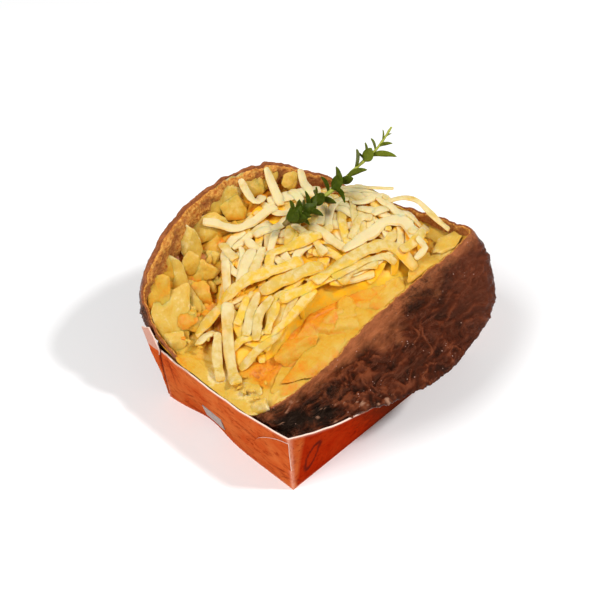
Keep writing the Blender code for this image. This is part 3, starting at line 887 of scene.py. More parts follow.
def thin_sheet(name, front, back, finish=0, edge_finish=2):
    """A closed sheet between two grids of points, whose edges have their own finish."""
    rows, count = front.shape[:2]
    near = np.arange(rows * count).reshape(rows, count)
    far = near + rows * count
    faces = []
    for grid in (near, far):
        corners = (grid[:-1, :-1], grid[:-1, 1:], grid[1:, 1:], grid[1:, :-1])
        faces += points_at(*corners).reshape(-1, 4).tolist()
    loop = [*near[0, :], *near[1:, -1], *near[-1, -2::-1], *near[-2:0:-1, 0]]
    for here, there in zip(loop, loop[1:] + loop[:1]):
        faces.append([here, here + rows * count, there + rows * count, there])
    mesh = new_mesh(name, np.vstack([front.reshape(-1, 3), back.reshape(-1, 3)]), faces)
    for index, polygon in enumerate(mesh.polygons):
        polygon.material_index = edge_finish if index >= len(faces) - len(loop) else finish
    shape = bmesh.new()
    shape.from_mesh(mesh)
    bmesh.ops.remove_doubles(shape, verts=shape.verts, dist=0.004 * MM)
    bmesh.ops.recalc_face_normals(shape, faces=shape.faces)
    shape.to_mesh(mesh)
    shape.free()
    return mesh


def on_end_wall(shape, y, z):
    """Points of the near end wall's outer face at these places along it and heights."""
    rise = np.clip(z / shape.height(y, shape.end_lean(y)), 0.0, 1.0)
    return shape.wall(points_at(-shape.half_x, y), rise)


def tab_mesh(shape):
    """The glued tab that wraps the near corner: a quarter oval that lies on the end wall."""
    turn = np.linspace(0.0, np.pi / 2, 40)
    out = np.linspace(0.0, 1.0, 26)[:, None]
    y = TAB_CENTRE[0] + TAB_REACH[0] * np.cos(turn) * out
    z = TAB_CENTRE[1] + TAB_REACH[1] * np.sin(turn) * out - 0.1 * (y - TAB_CENTRE[0])
    front = on_end_wall(shape, np.maximum(y, -shape.half_y + 0.02 * MM), z)
    front[..., 1] = np.minimum(front[..., 1], y)
    lift = 0.30 * MM + 0.55 * MM * smoothstep(0.55, 1.0, out) * np.cos(turn) ** 0.5
    front[..., 0] -= lift + 0.12 * MM * noise_at(front, 7 * MM, 2)
    return thin_sheet("tab", front, front + (TAB_PAPER, 0.0, 0.0))


def label_mesh(shape):
    """A small blank label, stuck low on the end wall."""
    rows, columns = np.linspace(0, 1, 22)[:, None], np.linspace(0, 1, 30)
    y = LABEL_LOW[0] + (LABEL_HIGH[0] - LABEL_LOW[0]) * columns
    z = LABEL_LOW[1] + (LABEL_HIGH[1] - LABEL_LOW[1]) * rows - 0.10 * (y - LABEL_LOW[0])
    front = on_end_wall(shape, y, z)
    front[..., 0] -= 0.42 * MM + 0.10 * MM * noise_at(front, 3 * MM, 2)
    return thin_sheet("label", front, front + (LABEL_PAPER, 0.0, 0.0), 3, 3)


def ear_mesh(paper):
    """The bent tip of the end wall, which sticks up past the far corner."""
    left, right = curve_through(EAR_LEFT, 18) * MM, curve_through(EAR_RIGHT, 18) * MM
    across = np.linspace(0.0, 1.0, 8)[None, :, None]
    front = left[:, None] * (1 - across) + right[:, None] * across
    front[..., 0] -= 0.25 * MM * np.sin(np.pi * across[..., 0]) + 0.15 * MM * noise_at(front, 3 * MM, 2)
    made = thin_sheet("ear", front, front + (paper, 0.0, 0.0))
    for polygon in made.polygons:
        if polygon.center.z > EAR_BENT and polygon.material_index == 0:
            polygon.material_index = 1
        if polygon.center.z < EAR_PRINTED:
            polygon.material_index = 0
    return made


def printed_paper(colours):
    finish = Finish("printed_paper", 0.45, 0.02, 1.0)
    printed = colours.outside
    cloudy = finish.between(finish.noise(9 * MM, 4.0, 0.6), 0.38, 0.62)
    fibres = finish.noise(0.5 * MM, 3.0, stretch=(1.0, 1.0, 0.35))
    streaks = finish.noise(2.2 * MM, 5.0, 0.65, 0.6, (1.0, 0.45, 1.0))
    axes = finish.axes()
    # Painted light: the end walls are painted lighter and more orange than the side walls, which lie in more
    # shade.
    lit_end_walls = finish.between(finish.maths("ABSOLUTE", axes["X"], 0.0), 45.5 * MM, 47.0 * MM)
    light = finish.blend(lit_end_walls, tinted(printed, (1.12, 1.5, 1.6)), tinted(printed, (1.65, 7.6, 14.0)))
    plain = finish.blend(lit_end_walls, printed, tinted(printed, (1.46, 4.6, 7.0)))
    base = finish.blend(cloudy, plain, light)
    # Painted shade: the closed side's wall is painted dark brown towards the far end and towards its top,
    # under the overhanging skin.
    shade_under_skin = finish.shifted(axes["X"], streaks, 0.3, 0.7, 6 * MM)
    near_side = finish.between(axes["Y"], -28 * MM, -31 * MM, 0.0, 0.95)
    shade_under_skin = finish.shifted(shade_under_skin, axes["Z"], 8 * MM, 28 * MM, 7 * MM)
    shade_under_skin = finish.maths("MULTIPLY", finish.between(shade_under_skin, -25 * MM, -8 * MM), near_side)
    base = finish.blend(shade_under_skin, base, (0.085, 0.016, 0.006))
    base = finish.coat(base, tinted(printed, (0.55, 0.35, 0.4)), streaks, 0.52, 0.70, 0.0, 0.65)
    base = finish.coat(base, tinted(printed, (1.25, 2.6, 3.0)), streaks, 0.42, 0.30, 0.0, 0.30)
    # Painted shade: the pressed creases are darkened.
    base = finish.coat(base, (0.17, 0.014, 0.006), finish.painted("crease"), 0.1, 0.9, 0.0, 0.8)
    # Paler along the folds and the top edge: partly rubbed card, partly a painted highlight.
    rubbed_and_highlit = finish.maths("MULTIPLY", finish.painted("worn"), finish.between(fibres, 0.3, 0.6, 0.35, 0.95))
    base = finish.blend(rubbed_and_highlit, base, (0.74, 0.34, 0.23))
    base = finish.coat(base, (0.10, 0.010, 0.006), finish.painted("oval"), 0.0, 1.0, 0.0, 0.88)
    finish.set("Base Color", base)
    finish.set("Roughness", finish.between(streaks, 0.3, 0.7, 0.50, 0.34))
    finish.bump((fibres, 0.03 * MM), (streaks, 0.20 * MM))
    return finish.material


def plain_paper(name, colour, roughness, mottling=0.86):
    finish = Finish(name, roughness, 0.3)
    fibres = finish.noise(0.6 * MM, 4.0)
    finish.set("Base Color", finish.coat(colour, tinted(colour, mottling), fibres, 0.3, 0.75))
    finish.bump((fibres, 0.04 * MM))
    return finish.material


class BuildCase(bpy.types.Operator):
    """Builds the folded paper case with its glued corner tab, creases and blank label"""

    bl_idname = "baked_potato.build_case"
    bl_label = "Paper case"

    def execute(self, context):
        sizes = context.scene.potato_case
        shape = CaseShape(sizes)
        finishes = (
            printed_paper(sizes),
            plain_paper("card_inside", tuple(sizes.inside), 0.6),
            plain_paper("card_cut_edge", tuple(sizes.cut), 0.7),
            plain_paper("blank_label", (0.40, 0.33, 0.29), 0.35, 0.55),
        )
        walls = scene_object("case_sheet", case_mesh(shape, sizes), *finishes)
        thick = walls.modifiers.new("card", "SOLIDIFY")
        thick.thickness = sizes.paper
        thick.offset = -1.0
        thick.use_even_offset = True
        thick.material_offset = 1
        thick.material_offset_rim = 2
        parts = [modified_mesh(walls), tab_mesh(shape), label_mesh(shape), ear_mesh(sizes.paper)]
        whole = joined("paper_case", parts)
        whole.set_sharp_from_angle(angle=CASE_SHARP)
        finished(scene_object("case", whole, *finishes), "paper_case", "case_paper", "paper_case")
        return {"FINISHED"}


# ---- the potato's skin

FOOT = (38.0 * MM, 23.0 * MM, 1.0 * MM)
SIDE = (46.3 * MM, 31.3 * MM, 13.0 * MM)
SECTION_POWER = 3.2
TOUCH_GAP = 0.5 * MM
LIP_INSET = 1.9 * MM
SHOULDER_BULGE = 2.4 * MM
SHOULDER_FULL = 24.0 * MM
RIM_THICKNESS = 2.0 * MM
SKIN_COLUMNS = 560
SKIN_STEPS = (2, 4, 8, 12, 34, 34)


class PotatoShape:
    """The potato's outline at every column round it, from its stations."""

    def __init__(self, case, columns, jitter=0.0):
        self.case = case
        place = np.arange(columns) * len(STATIONS) / columns
        self.belly = spline([station[0] for station in STATIONS], place, True) * MM
        self.rim = spline([station[1] for station in STATIONS], place, True) * MM
        self.drop = spline([(station[2],) for station in STATIONS], place, True)[:, 0] * MM
        shift = max(round(0.2 * columns / len(STATIONS)), 1)
        along = np.roll(self.rim, -shift, axis=0) - np.roll(self.rim, shift, axis=0)
        inward = points_at(-along[:, 1], along[:, 0], 0.0)
        self.inward = inward / np.linalg.norm(inward, axis=1, keepdims=True)
        self.angle = np.arctan2(self.belly[:, 1], self.belly[:, 0])
        self.opened = smoothstep(46 * MM, 58 * MM, self.rim[:, 2]) * (self.rim[:, 1] > 0)
        self.thick = RIM_THICKNESS * (0.45 + 0.55 * self.opened)
        ragged = noise_at(self.rim, 7 * MM, 4)
        lift = noise_at(self.rim, 5 * MM, 4, 31.0)
        free = jitter * (0.35 + 0.65 * smoothstep(28 * MM, 36 * MM, self.rim[:, 2]))
        self.tear = self.inward * (free * ragged)[:, None] + UP * (0.8 * free * lift)[:, None]
        self.torn = self.rim + self.tear

    def ring(self, radius, height):
        """Points round the case's axis, one for each column."""
        return points_at(radius * np.cos(self.angle), radius * np.sin(self.angle), height)

    def section(self, size):
        half_x, half_y, height = size
        x, y = np.abs(np.cos(self.angle)) / half_x, np.abs(np.sin(self.angle)) / half_y
        return self.ring((x**SECTION_POWER + y**SECTION_POWER) ** (-1 / SECTION_POWER), height)

    def lip(self):
        """Where the skin leaves the case."""
        case = self.case
        height = np.full_like(self.angle, case.slant)
        for _ in range(4):
            radius = case.radius(self.angle, height)
            y = radius * np.sin(self.angle)
            on_side = np.abs(y) > case.half_y
            lean = case.side_lean(radius * np.cos(self.angle), np.sign(np.sin(self.angle)))
            height = case.height(y, np.where(on_side, lean, END_FLARE))
        height = np.minimum(height + TOUCH_GAP, self.rim[:, 2] - 4.5 * MM)
        return self.ring(case.radius(self.angle, height) - LIP_INSET, height)

    def outside(self, counts):
        """Rings of the outer skin from the foot to the torn rim, with so many steps between the stops."""
        lip = self.lip()
        low = self.belly[:, 2] < lip[:, 2] + 1.0 * MM
        belly = np.where(low[:, None], lip * 0.65 + self.rim * 0.35, self.belly)
        foot = self.section(FOOT)
        tall = np.minimum(np.linalg.norm(self.rim - belly, axis=1) / SHOULDER_FULL, 1.0)
        shoulder = belly * 0.45 + self.rim * 0.55 + self.ring(1.0, 0.35) * (SHOULDER_BULGE * tall)[:, None]
        stops = np.stack([foot * (0.5, 0.5, 1.0), foot, self.section(SIDE), lip, belly, shoulder, self.rim])
        places = [0.0]
        for k, count in enumerate(counts):
            places += [k + (step + 1) / count for step in range(count)]
        rings = np.tensordot(spline_weights(len(stops), np.array(places), False), stops, axes=1)
        limit = self.case.radius(self.angle[None, :], rings[..., 2]) - TOUCH_GAP
        reach = np.hypot(rings[..., 0], rings[..., 1])
        held = (rings[..., 2] < lip[None, :, 2] - TOUCH_GAP) & (reach > limit)
        rings[..., :2] *= np.where(held, limit / np.maximum(reach, 1e-9), 1.0)[..., None]
        rings[..., 2] = np.maximum(rings[..., 2], FOOT[2])
        return rings, lip


# The section over the torn rim, as steps inwards and upwards in rim thicknesses, and how golden it is
RIM_SECTION = [
    (0.10, 0.12, 0), (0.28, 0.22, 0), (0.46, 0.20, 0.05), (0.60, 0.02, 0.1), (0.70, -0.26, 0),
    (0.80, -0.34, 0.1), (0.92, -0.14, 0.75), (1.08, -0.04, 1), (1.24, -0.12, 1), (1.36, -0.40, 0.9),
]
WALL_RINGS = 16


def skin_relief(rings, rim_distance, settings):
    """How far the baked skin stands out, how folded it is, and the painted highlight on its sharp ridges."""
    warp = np.stack([noise_at(rings, 13 * MM, 2, shift) for shift in (0.0, 40.0, 80.0)], axis=-1)
    bent = rings + warp * 3.6 * MM
    folds = ridges_at(bent * (0.26, 1.0, 1.0), 4.6 * MM, 2, 7.0) ** 2
    worms = smoothstep(0.80, 0.99, ridges_at(bent * (0.6, 1.0, 1.0), 5.5 * MM, 1, 33.0))
    crumples = ridges_at(bent, 2.6 * MM, 2, 21.0) ** 1.5
    lumps = noise_at(rings, 22 * MM, 2, 51.0)
    corner = near(rings, WRINKLED_CORNER, 16 * MM)
    speckled = near(rings, CRUMPLED_PATCH, 14 * MM)
    patch = smoothstep(-0.25, 0.45, noise_at(rings, 17 * MM, 2, 13.0))
    calm = 0.22 + 0.78 * smoothstep(1.5 * MM, 10 * MM, rim_distance)
    fold_share = np.clip(0.25 + 0.55 * patch + 1.3 * corner, 0.0, 1.5)
    crumple_share = np.clip(0.20 + 0.45 * (1 - patch) + 1.2 * speckled - 0.3 * corner, 0.0, 1.3)
    worm_share = np.clip(0.9 - corner, 0.0, 1.0) * smoothstep(-0.15, 0.35, noise_at(rings, 12 * MM, 2, 60.0))
    x, y, z = np.moveaxis(bent, -1, 0)
    turned = points_at(0.24 * (0.8 * x - 0.6 * y), 0.6 * x + 0.8 * y, z)
    sharp = smoothstep(0.82, 0.97, ridges_at(turned, 4.2 * MM, 1, 90.0))
    sharp = sharp * np.clip(1.6 * corner - 0.2, 0.0, 1.0)
    sharp = sharp * smoothstep(-0.1, 0.3, noise_at(rings, 6 * MM, 2, 17.0))
    rough = 1.3 * fold_share * (folds - 0.3) + 0.9 * crumple_share * (crumples - 0.3)
    rough = rough + 0.75 * worm_share * worms
    far = smoothstep(-14 * MM, 14 * MM, rings[..., 0]) * 0.25 + 0.25 * smoothstep(0.0, 20 * MM, rings[..., 1])
    rough = rough + 0.9 * sharp
    relief = settings.wrinkle * rough * calm * (1 - far)
    relief += settings.lumps * lumps * smoothstep(0.0, 12 * MM, rim_distance)
    return relief, rough, 0.85 * smoothstep(0.45, 1.0, sharp)


def skin_mesh(settings, case):
    shape = PotatoShape(case, SKIN_COLUMNS, settings.rim_jitter)
    rings, lip = shape.outside(SKIN_STEPS)
    steps = np.linalg.norm(np.diff(rings, axis=0), axis=-1)
    to_rim = np.vstack([np.cumsum(steps[::-1], axis=0)[::-1], np.zeros((1, SKIN_COLUMNS))])
    rings = rings + shape.tear * np.exp(-to_rim / (2.2 * MM))[..., None]
    normals = surface_normals(rings)
    if np.sum(normals[-20] * (rings[-20] - rings[-20].mean(axis=0))) < 0:
        normals = -normals
    free = 0.10 + 0.90 * smoothstep(-3 * MM, 3 * MM, rings[..., 2] - lip[None, :, 2])
    relief, rough, ridge_highlights_and_flakes = skin_relief(rings, to_rim, settings)
    for place in FLAKES:
        far = np.linalg.norm(rings - np.array(place) * MM, axis=-1) / FLAKE_SIZE
        ragged = np.maximum(1.0 + 0.9 * noise_at(rings, 1.4 * MM, 2, 31.0), 0.3)
        flake = smoothstep(1.1, 0.6, far * ragged)
        relief = relief + FLAKE_HEIGHT * flake
        ridge_highlights_and_flakes = np.maximum(ridge_highlights_and_flakes, flake)
    rings = rings + normals * (relief * free * smoothstep(0.0, 1.6 * MM, to_rim))[..., None]
    along = smoothstep(-31 * MM, -6 * MM, rings[..., 0]) * smoothstep(34 * MM, 10 * MM, rings[..., 0])
    over = along * (rings[..., 1] < 0) * bell((rings[..., 2] - lip[None, :, 2] - 2.5 * MM) / (2.2 * MM))
    rings = rings - over[..., None] * np.array([0.0, 1.8, 1.0]) * MM
    rings[..., 2] = np.maximum(rings[..., 2], 0.8 * MM)

    thick = shape.thick
    crumb = noise_at(shape.torn, 2.0 * MM, 3, 61.0)
    inner, golden = [], []
    for inward, upward, gold in RIM_SECTION:
        loose = smoothstep(0.75, 1.0, inward)
        point = shape.torn + shape.inward * (thick * (inward + 0.12 * crumb * loose))[:, None]
        inner.append(point + UP * (thick * (upward + 0.32 * crumb * loose))[:, None])
        golden.append(np.full(SKIN_COLUMNS, gold))
    for fall in np.linspace(0.0, 1.0, WALL_RINGS + 1)[1:]:
        depth = 0.4 * thick + (shape.drop + 4 * MM) * fall
        point = shape.torn + shape.inward * ((1.45 + 0.25 * fall) * thick)[:, None] - UP * depth[:, None]
        scrap = np.maximum(noise_at(point, 4.5 * MM, 4, 44.0) + 0.25, 0.0) * 1.5 * MM
        scrap = scrap * (0.3 + 0.7 * shape.opened)
        inner.append(point + shape.inward * scrap[:, None])
        golden.append(np.clip(0.30 + scrap / (0.9 * MM), 0.0, 1.0))
    core = np.array([SPLIT_CENTRE[0], SPLIT_CENTRE[1], 18 * MM])
    inner.append(inner[-1] * (0.86, 0.86, 0.5) + core * (0.14, 0.14, 0.5))
    golden.append(np.full(SKIN_COLUMNS, 0.7))
    inner = np.stack(inner)
    mesh = closed_surface("potato_skin", np.concatenate([rings, inner]), (0.0, 0.0, FOOT[2]), core)

    char = np.zeros(rings.shape[:2])
    for x, y, z, reach, strength in CHARRED:
        far = np.linalg.norm(rings - np.array([x, y, z]) * MM, axis=-1) / (reach * MM)
        char = np.maximum(char, strength * bell(far))
    char = char * (0.75 + 0.5 * noise_at(rings, 6 * MM, 3, 71.0))
    copper = 1.0 + 1.3 * bell((rings[..., 0] - 3 * MM) / (13 * MM))
    tan = smoothstep(5.5 * MM, 0.5 * MM, to_rim / copper * (1 + 0.6 * noise_at(rings, 8 * MM, 3, 81.0)))
    tan = np.maximum(tan, 0.9 * shape.opened[None, :] * smoothstep(14 * MM, 2 * MM, to_rim))
    tan = tan * (1 - 0.85 * near(rings, WRINKLED_CORNER, 15 * MM))
    zeros = np.zeros(inner.shape[:2])
    for name, on_skin, on_wall, poles in (
        ("golden", 0.0 * char, np.stack(golden), (0.0, 0.7)),
        ("char", char, zeros, (0.0, 0.0)),
        ("tan", tan, zeros + 1.0, (0.0, 1.0)),
        ("fold", rough, zeros, (0.0, 0.0)),
        ("ridge_highlights_and_flakes", ridge_highlights_and_flakes, zeros, (0.0, 0.0)),
    ):
        paint(mesh, name, np.append(np.concatenate([on_skin, on_wall]), poles))
    return mesh


def baked_skin(colours):
    finish = Finish("baked_skin", 0.3, 0.26, 1.35)
    finish.set("Specular Tint", (1.0, 0.62, 0.42, 1.0))
    skin = colours.skin
    blotch = finish.noise(13 * MM, 4.0, 0.6)
    streak = finish.noise(2.4 * MM, 5.0, 0.6, 0.8, (0.35, 1.0, 1.0))
    fine = finish.noise(0.9 * MM, 5.0, 0.65)
    # Painted shade in the folds and painted highlights on the ridges, both from the fold height.
    base = finish.coat(colours.skin_dark, skin, finish.painted("fold"), -0.18, 0.26)
    base = finish.coat(base, tinted(skin, (2.9, 4.2, 5.4)), finish.painted("fold"), 0.24, 0.75)
    base = finish.coat(base, tinted(skin, (2.0, 3.0, 4.6)), streak, 0.48, 0.68, 0.0, 0.6)
    base = finish.coat(base, colours.skin_dark, blotch, 0.50, 0.72, 0.0, 0.6)
    # Painted sheen: the skin is painted lighter towards the far end.
    base = finish.coat(base, tinted(skin, (2.0, 2.8, 4.2)), finish.axes()["X"], 22 * MM, 44 * MM, 0.0, 0.5)
    tanned = finish.maths("MULTIPLY", finish.painted("tan"), finish.between(streak, 0.25, 0.65, 0.35, 1.0))
    base = finish.blend(tanned, base, colours.skin_tan)
    rough_char = finish.shifted(finish.painted("char"), fine, 0.3, 0.7, 0.20)
    base = finish.coat(base, colours.char, rough_char, 0.10, 0.68)
    # Painted highlights on the sharp ridges by the charred corner, and the pale flakes of skin.
    base = finish.blend(finish.painted("ridge_highlights_and_flakes"), base, (0.36, 0.18, 0.11))
    specks = finish.between(finish.cells(1.9 * MM), 0.14, 0.06)
    sparse = finish.between(finish.noise(7 * MM, 2.0), 0.50, 0.60)
    base = finish.blend(finish.maths("MULTIPLY", specks, sparse), base, (0.50, 0.30, 0.24))
    crumbs = finish.noise(1.1 * MM, 4.0, 0.65)
    gold = finish.coat((0.42, 0.105, 0.014), (0.80, 0.40, 0.085), crumbs, 0.35, 0.65)
    finish.set("Base Color", finish.blend(finish.painted("golden"), base, gold))
    finish.set("Roughness", finish.between(streak, 0.3, 0.7, 0.14, 0.32))
    wrinkled = finish.noise(1.5 * MM, 5.0, 0.62, 1.2, (0.45, 1.0, 1.0))
    finish.bump((wrinkled, 0.85 * MM), (fine, 0.16 * MM))
    return finish.material


class BuildSkin(bpy.types.Operator):
    """Builds the wrinkled baked skin with its torn rim"""

    bl_idname = "baked_potato.build_skin"
    bl_label = "Potato skin"

    def execute(self, context):
        settings = context.scene.potato_body
        mesh = skin_mesh(settings, CaseShape(context.scene.potato_case))
        finished(scene_object("skin", mesh, baked_skin(settings)), "potato_skin", "potato_skin", "potato")
        return {"FINISHED"}


# ---- the flesh

BED_COLUMNS = 400
BED_RINGS = 120
PIT = (-29 * MM, -5 * MM, 7 * MM)  # the deepest hollow in front: x, y and reach
PLATE_WIDTH = 8.5 * MM
LOOSE_SLABS = 130
SLAB_SHARP = math.radians(42)


def broken_facets(x, y, seed, size, tilt, step):
    """The tilted faces that broken flesh splits into: height, how near a crevice is, and each face's tone."""
    draw = np.random.default_rng(seed)
    seats = np.arange(-64 * MM, 64 * MM, size)
    centres = np.stack(np.meshgrid(seats, seats), axis=-1).reshape(-1, 2)
    centres = centres + draw.uniform(-0.48, 0.48, centres.shape) * size
    tilts = draw.normal(0.0, tilt, centres.shape)
    levels = draw.uniform(-1.0, 1.0, len(centres)) * step
    tones = draw.uniform(0.0, 1.0, len(centres))
    flat = points_at(x, y, 0.0)
    bent_x = x + 0.16 * size * noise_at(flat, 0.7 * size, 2)
    bent_y = y + 0.16 * size * noise_at(flat, 0.7 * size, 2, 9.0)
    nearest = np.full(x.shape, 1e9)
    second = nearest.copy()
    height = np.zeros(x.shape)
    tone = np.zeros(x.shape)
    for (cx, cy), (tx, ty), level, shade in zip(centres, tilts, levels, tones):
        far = np.hypot(bent_x - cx, bent_y - cy)
        closer = far < nearest
        second = np.where(closer, nearest, np.minimum(second, far))
        height = np.where(closer, level + (bent_x - cx) * tx + (bent_y - cy) * ty, height)
        tone = np.where(closer, shade, tone)
        nearest = np.minimum(nearest, far)
    return height, bell((second - nearest) / (0.075 * size)), tone


def softened(grid, times):
    """A closed grid of rings with each point's value averaged with its neighbours'."""
    for _ in range(times):
        around = (np.roll(grid, 1, axis=1) + np.roll(grid, -1, axis=1)) / 2
        padded = np.vstack([grid[:1], grid, grid[-1:]])
        grid = 0.4 * grid + 0.3 * around + 0.15 * (padded[:-2] + padded[2:])
    return grid


def bed_mesh(case):
    """The bed of broken flesh that fills the split: flaky on the opened side, in broad plates in front."""
    shape = PotatoShape(case, BED_COLUMNS)
    edge = shape.rim + shape.inward * (1.15 * shape.thick)[:, None] - UP * (shape.drop + 0.4 * MM)[:, None]
    rim_x, rim_y, rim_z = shape.rim.T
    spilt = smoothstep(-45 * MM, -47.5 * MM, rim_x) * smoothstep(-18 * MM, -13 * MM, rim_y)
    spilt = (spilt * smoothstep(26 * MM, 20 * MM, rim_y))[:, None]
    over = shape.rim - shape.inward * 1.9 * MM
    over[:, 0] = np.minimum(over[:, 0], 0.8 * MM - case.half_x - case.end_lean(over[:, 1]))
    over[:, 2] = np.maximum(rim_z, 27.9 * MM) + 0.9 * MM
    edge = edge * (1 - spilt) + over * spilt
    part = np.linspace(0.0, 1.0, BED_RINGS, endpoint=False)[:, None]
    x = edge[:, 0] + (SPLIT_CENTRE[0] - edge[:, 0]) * part
    y = edge[:, 1] + (SPLIT_CENTRE[1] - edge[:, 1]) * part
    blend = smoothstep(0.0, 0.4, part)
    smooth = edge[:, 2] * (1 - blend) + height_near(FLESH_MARKS, x, y) * blend
    flat = points_at(x, y, smooth)
    flaky = smoothstep(8 * MM, 20 * MM, y + 4 * MM * noise_at(flat, 14 * MM, 1))
    small, small_crevice, small_tone = broken_facets(x, y, 3, 5.6 * MM, 0.42, 1.1 * MM)
    broad, broad_crevice, broad_tone = broken_facets(x, y, 8, 9.0 * MM, 0.17, 1.1 * MM)
    ramp = 0.25 + 0.75 * smoothstep(0.0, 0.10, part)
    grain = noise_at(flat, 2.4 * MM, 4, 5.0)
    facets = softened(small * flaky + broad * (1 - flaky), 7)
    crevice = small_crevice * flaky + broad_crevice * (1 - flaky) * 0.7
    tone = small_tone * flaky + broad_tone * (1 - flaky)
    ramp = ramp * (1 - 0.55 * smoothstep(-40 * MM, -46 * MM, x))
    relief = (facets - 0.7 * MM * crevice) * ramp + (0.14 + 0.30 * flaky) * MM * grain
    top = points_at(x, y, smooth + relief)
    under = -0.9 * shape.thick[:, None] * (1 - spilt) + 1.2 * MM * spilt
    buried = edge + shape.inward * under - UP * 1.2 * MM
    below = edge * (0.75, 0.75, 1.0) + SPLIT_CENTRE * 0.25 - UP * 6 * MM
    rings = np.concatenate([below[None], buried[None], top])
    centre = np.array([*SPLIT_CENTRE[:2], height_near(FLESH_MARKS, *SPLIT_CENTRE[:2])])
    mesh = closed_surface("flesh_bed", rings, centre - UP * 14 * MM, centre)
    wedge = smoothstep(-38 * MM, -47 * MM, x)
    # Painted shade: the crevices between facets are darker, and the flaky side darkens down to the pocket
    # colour next to the rim, in the gap under the skin.
    pale = 0.15 + 0.45 * tone + 0.16 * relief / MM - 0.22 * crevice + 0.60 * wedge
    pale = pale - flaky * (0.18 + 0.4 * smoothstep(0.16, 0.0, part))
    plain = (1 - flaky) * (1 - wedge)
    pit = np.exp(-((x - PIT[0]) ** 2 + (y - PIT[1]) ** 2) / PIT[2] ** 2)
    plates = 0.35 * smoothstep(0.22, 0.04, part) - 0.25 * smoothstep(-11 * MM, -3 * MM, y) - 0.5 * pit
    pale = pale + plain * plates
    pale = np.maximum(pale, -0.05 - 0.5 * flaky)
    paint(mesh, "pale", np.concatenate([np.zeros(2 * BED_COLUMNS), pale.ravel(), (0.0, 0.5)]))
    return mesh


def slab_outline(draw, angle, ragged):
    """How far a broken plate reaches at each angle, with straight sides, and how ragged its edge is."""
    sides = draw.integers(4, 7)
    turns = (np.arange(sides) + draw.uniform(-0.28, 0.28, sides)) * 2 * np.pi / sides
    turns = turns + draw.uniform(0, 2 * np.pi)
    reaches = draw.uniform(0.78, 1.08, sides)
    lean = np.maximum(np.cos(angle[:, None] - turns), 0.0) / reaches
    outline = np.sum(lean**14, axis=1) ** (-1 / 14)
    circle = points_at(np.cos(angle), np.sin(angle), draw.uniform(0, 99))
    worn = 0.35 * noise_at(circle, 0.9, 1) + 0.55 * noise_at(circle, 0.36, 1, 5.0)
    return outline, outline * ragged * worn


def slab_mesh(middle, facing, turn, size, pale, seed):
    """A broken plate of flesh: angular, thin at its edge, creased, slightly bent, rough where it split."""
    draw = np.random.default_rng(seed)
    width, height, thickness = (one * MM for one in size)
    broad = width > PLATE_WIDTH
    angle = np.linspace(0.0, 2 * np.pi, 72 if broad else 30, endpoint=False)
    out = np.array([0.14, 0.30, 0.46, 0.61, 0.75, 0.87, 0.95, 1.0])[:, None]
    out = out if broad else out[[0, 2, 4, 5, 7]]
    outline, torn = slab_outline(draw, angle, 0.14)
    reach = outline + torn * out**7
    u = np.cos(angle) * reach * out * width / 2
    v = np.sin(angle) * reach * out * height / 2
    bend_u, bend_v = draw.uniform(-0.010, 0.022, 2) / MM
    way, offset = draw.uniform(0, np.pi), draw.uniform(-0.2, 0.2) * width
    crease = draw.uniform(0.05, 0.30) * np.abs(u * np.cos(way) + v * np.sin(way) - offset)
    spot = points_at(u, v, seed * 7.7 * MM)
    rough = thickness * 0.22 * noise_at(spot, 4.0 * MM, 3) + bend_u * u**2 + bend_v * v**2 - crease
    half = thickness / 2 * (0.20 + 0.80 * (1 - out**5))
    front, back = points_at(u, v, rough + half), points_at(u, v, rough - half)
    az, el = np.radians(facing)
    normal = np.array([np.cos(el) * np.cos(az), np.cos(el) * np.sin(az), np.sin(el)])
    side = np.array([-np.sin(az), np.cos(az), 0.0])
    rise = np.cross(normal, side)
    spin = np.radians(turn)
    axes = np.stack(
        [side * np.cos(spin) + rise * np.sin(spin), rise * np.cos(spin) - side * np.sin(spin), normal]
    )
    place = np.concatenate([back, front[::-1]]) @ axes + middle
    level = float(rough[0].mean())
    ends = np.array([[0, 0, level - thickness / 2], [0, 0, level + thickness / 2]]) @ axes + middle
    mesh = closed_surface("slab", place, *ends)
    tips = np.concatenate([out[:, 0], out[::-1, 0]])[:, None]
    grade = pale + (0.42 - 0.22 * pale) * noise_at(place, 4 * MM, 3)
    grade = grade + 0.2 * pale * smoothstep(0.86, 1.0, tips)
    # Painted shade: each slab is darker and more golden towards its lower part.
    grade = grade - 0.6 * smoothstep(0.05, -0.45, (place[..., 2] - middle[2]) / height)
    grade = np.maximum(grade, 0.12)
    paint(mesh, "pale", np.append(grade, (pale, pale)))
    return mesh


def press_inside(mesh, shape):
    """Presses slabs that would stick out through the skin back against its inner face."""
    places = at_vertices(mesh, "co")
    middle = SPLIT_CENTRE[:2]
    flat = places[:, :2] - middle
    rim = shape.rim[:, :2] - middle
    turn = np.arctan2(rim[:, 1], rim[:, 0])
    far = np.maximum(np.linalg.norm(flat, axis=1), 0.1 * MM)
    reach = np.linalg.norm(rim, axis=1)
    heading = np.arctan2(flat[:, 1], flat[:, 0])
    wall = np.interp(heading, np.sort(turn), reach[np.argsort(turn)], period=2 * np.pi) - 2.0 * MM
    spilt = (places[:, 1] < 15 * MM) & (places[:, 2] < 36 * MM)
    outside = (far > wall) & ~spilt
    pressed = np.where(outside, wall + 0.12 * (far - wall), far)
    places[:, :2] = middle + flat * (pressed / far)[:, None]
    mesh.vertices.foreach_set("co", places.ravel())


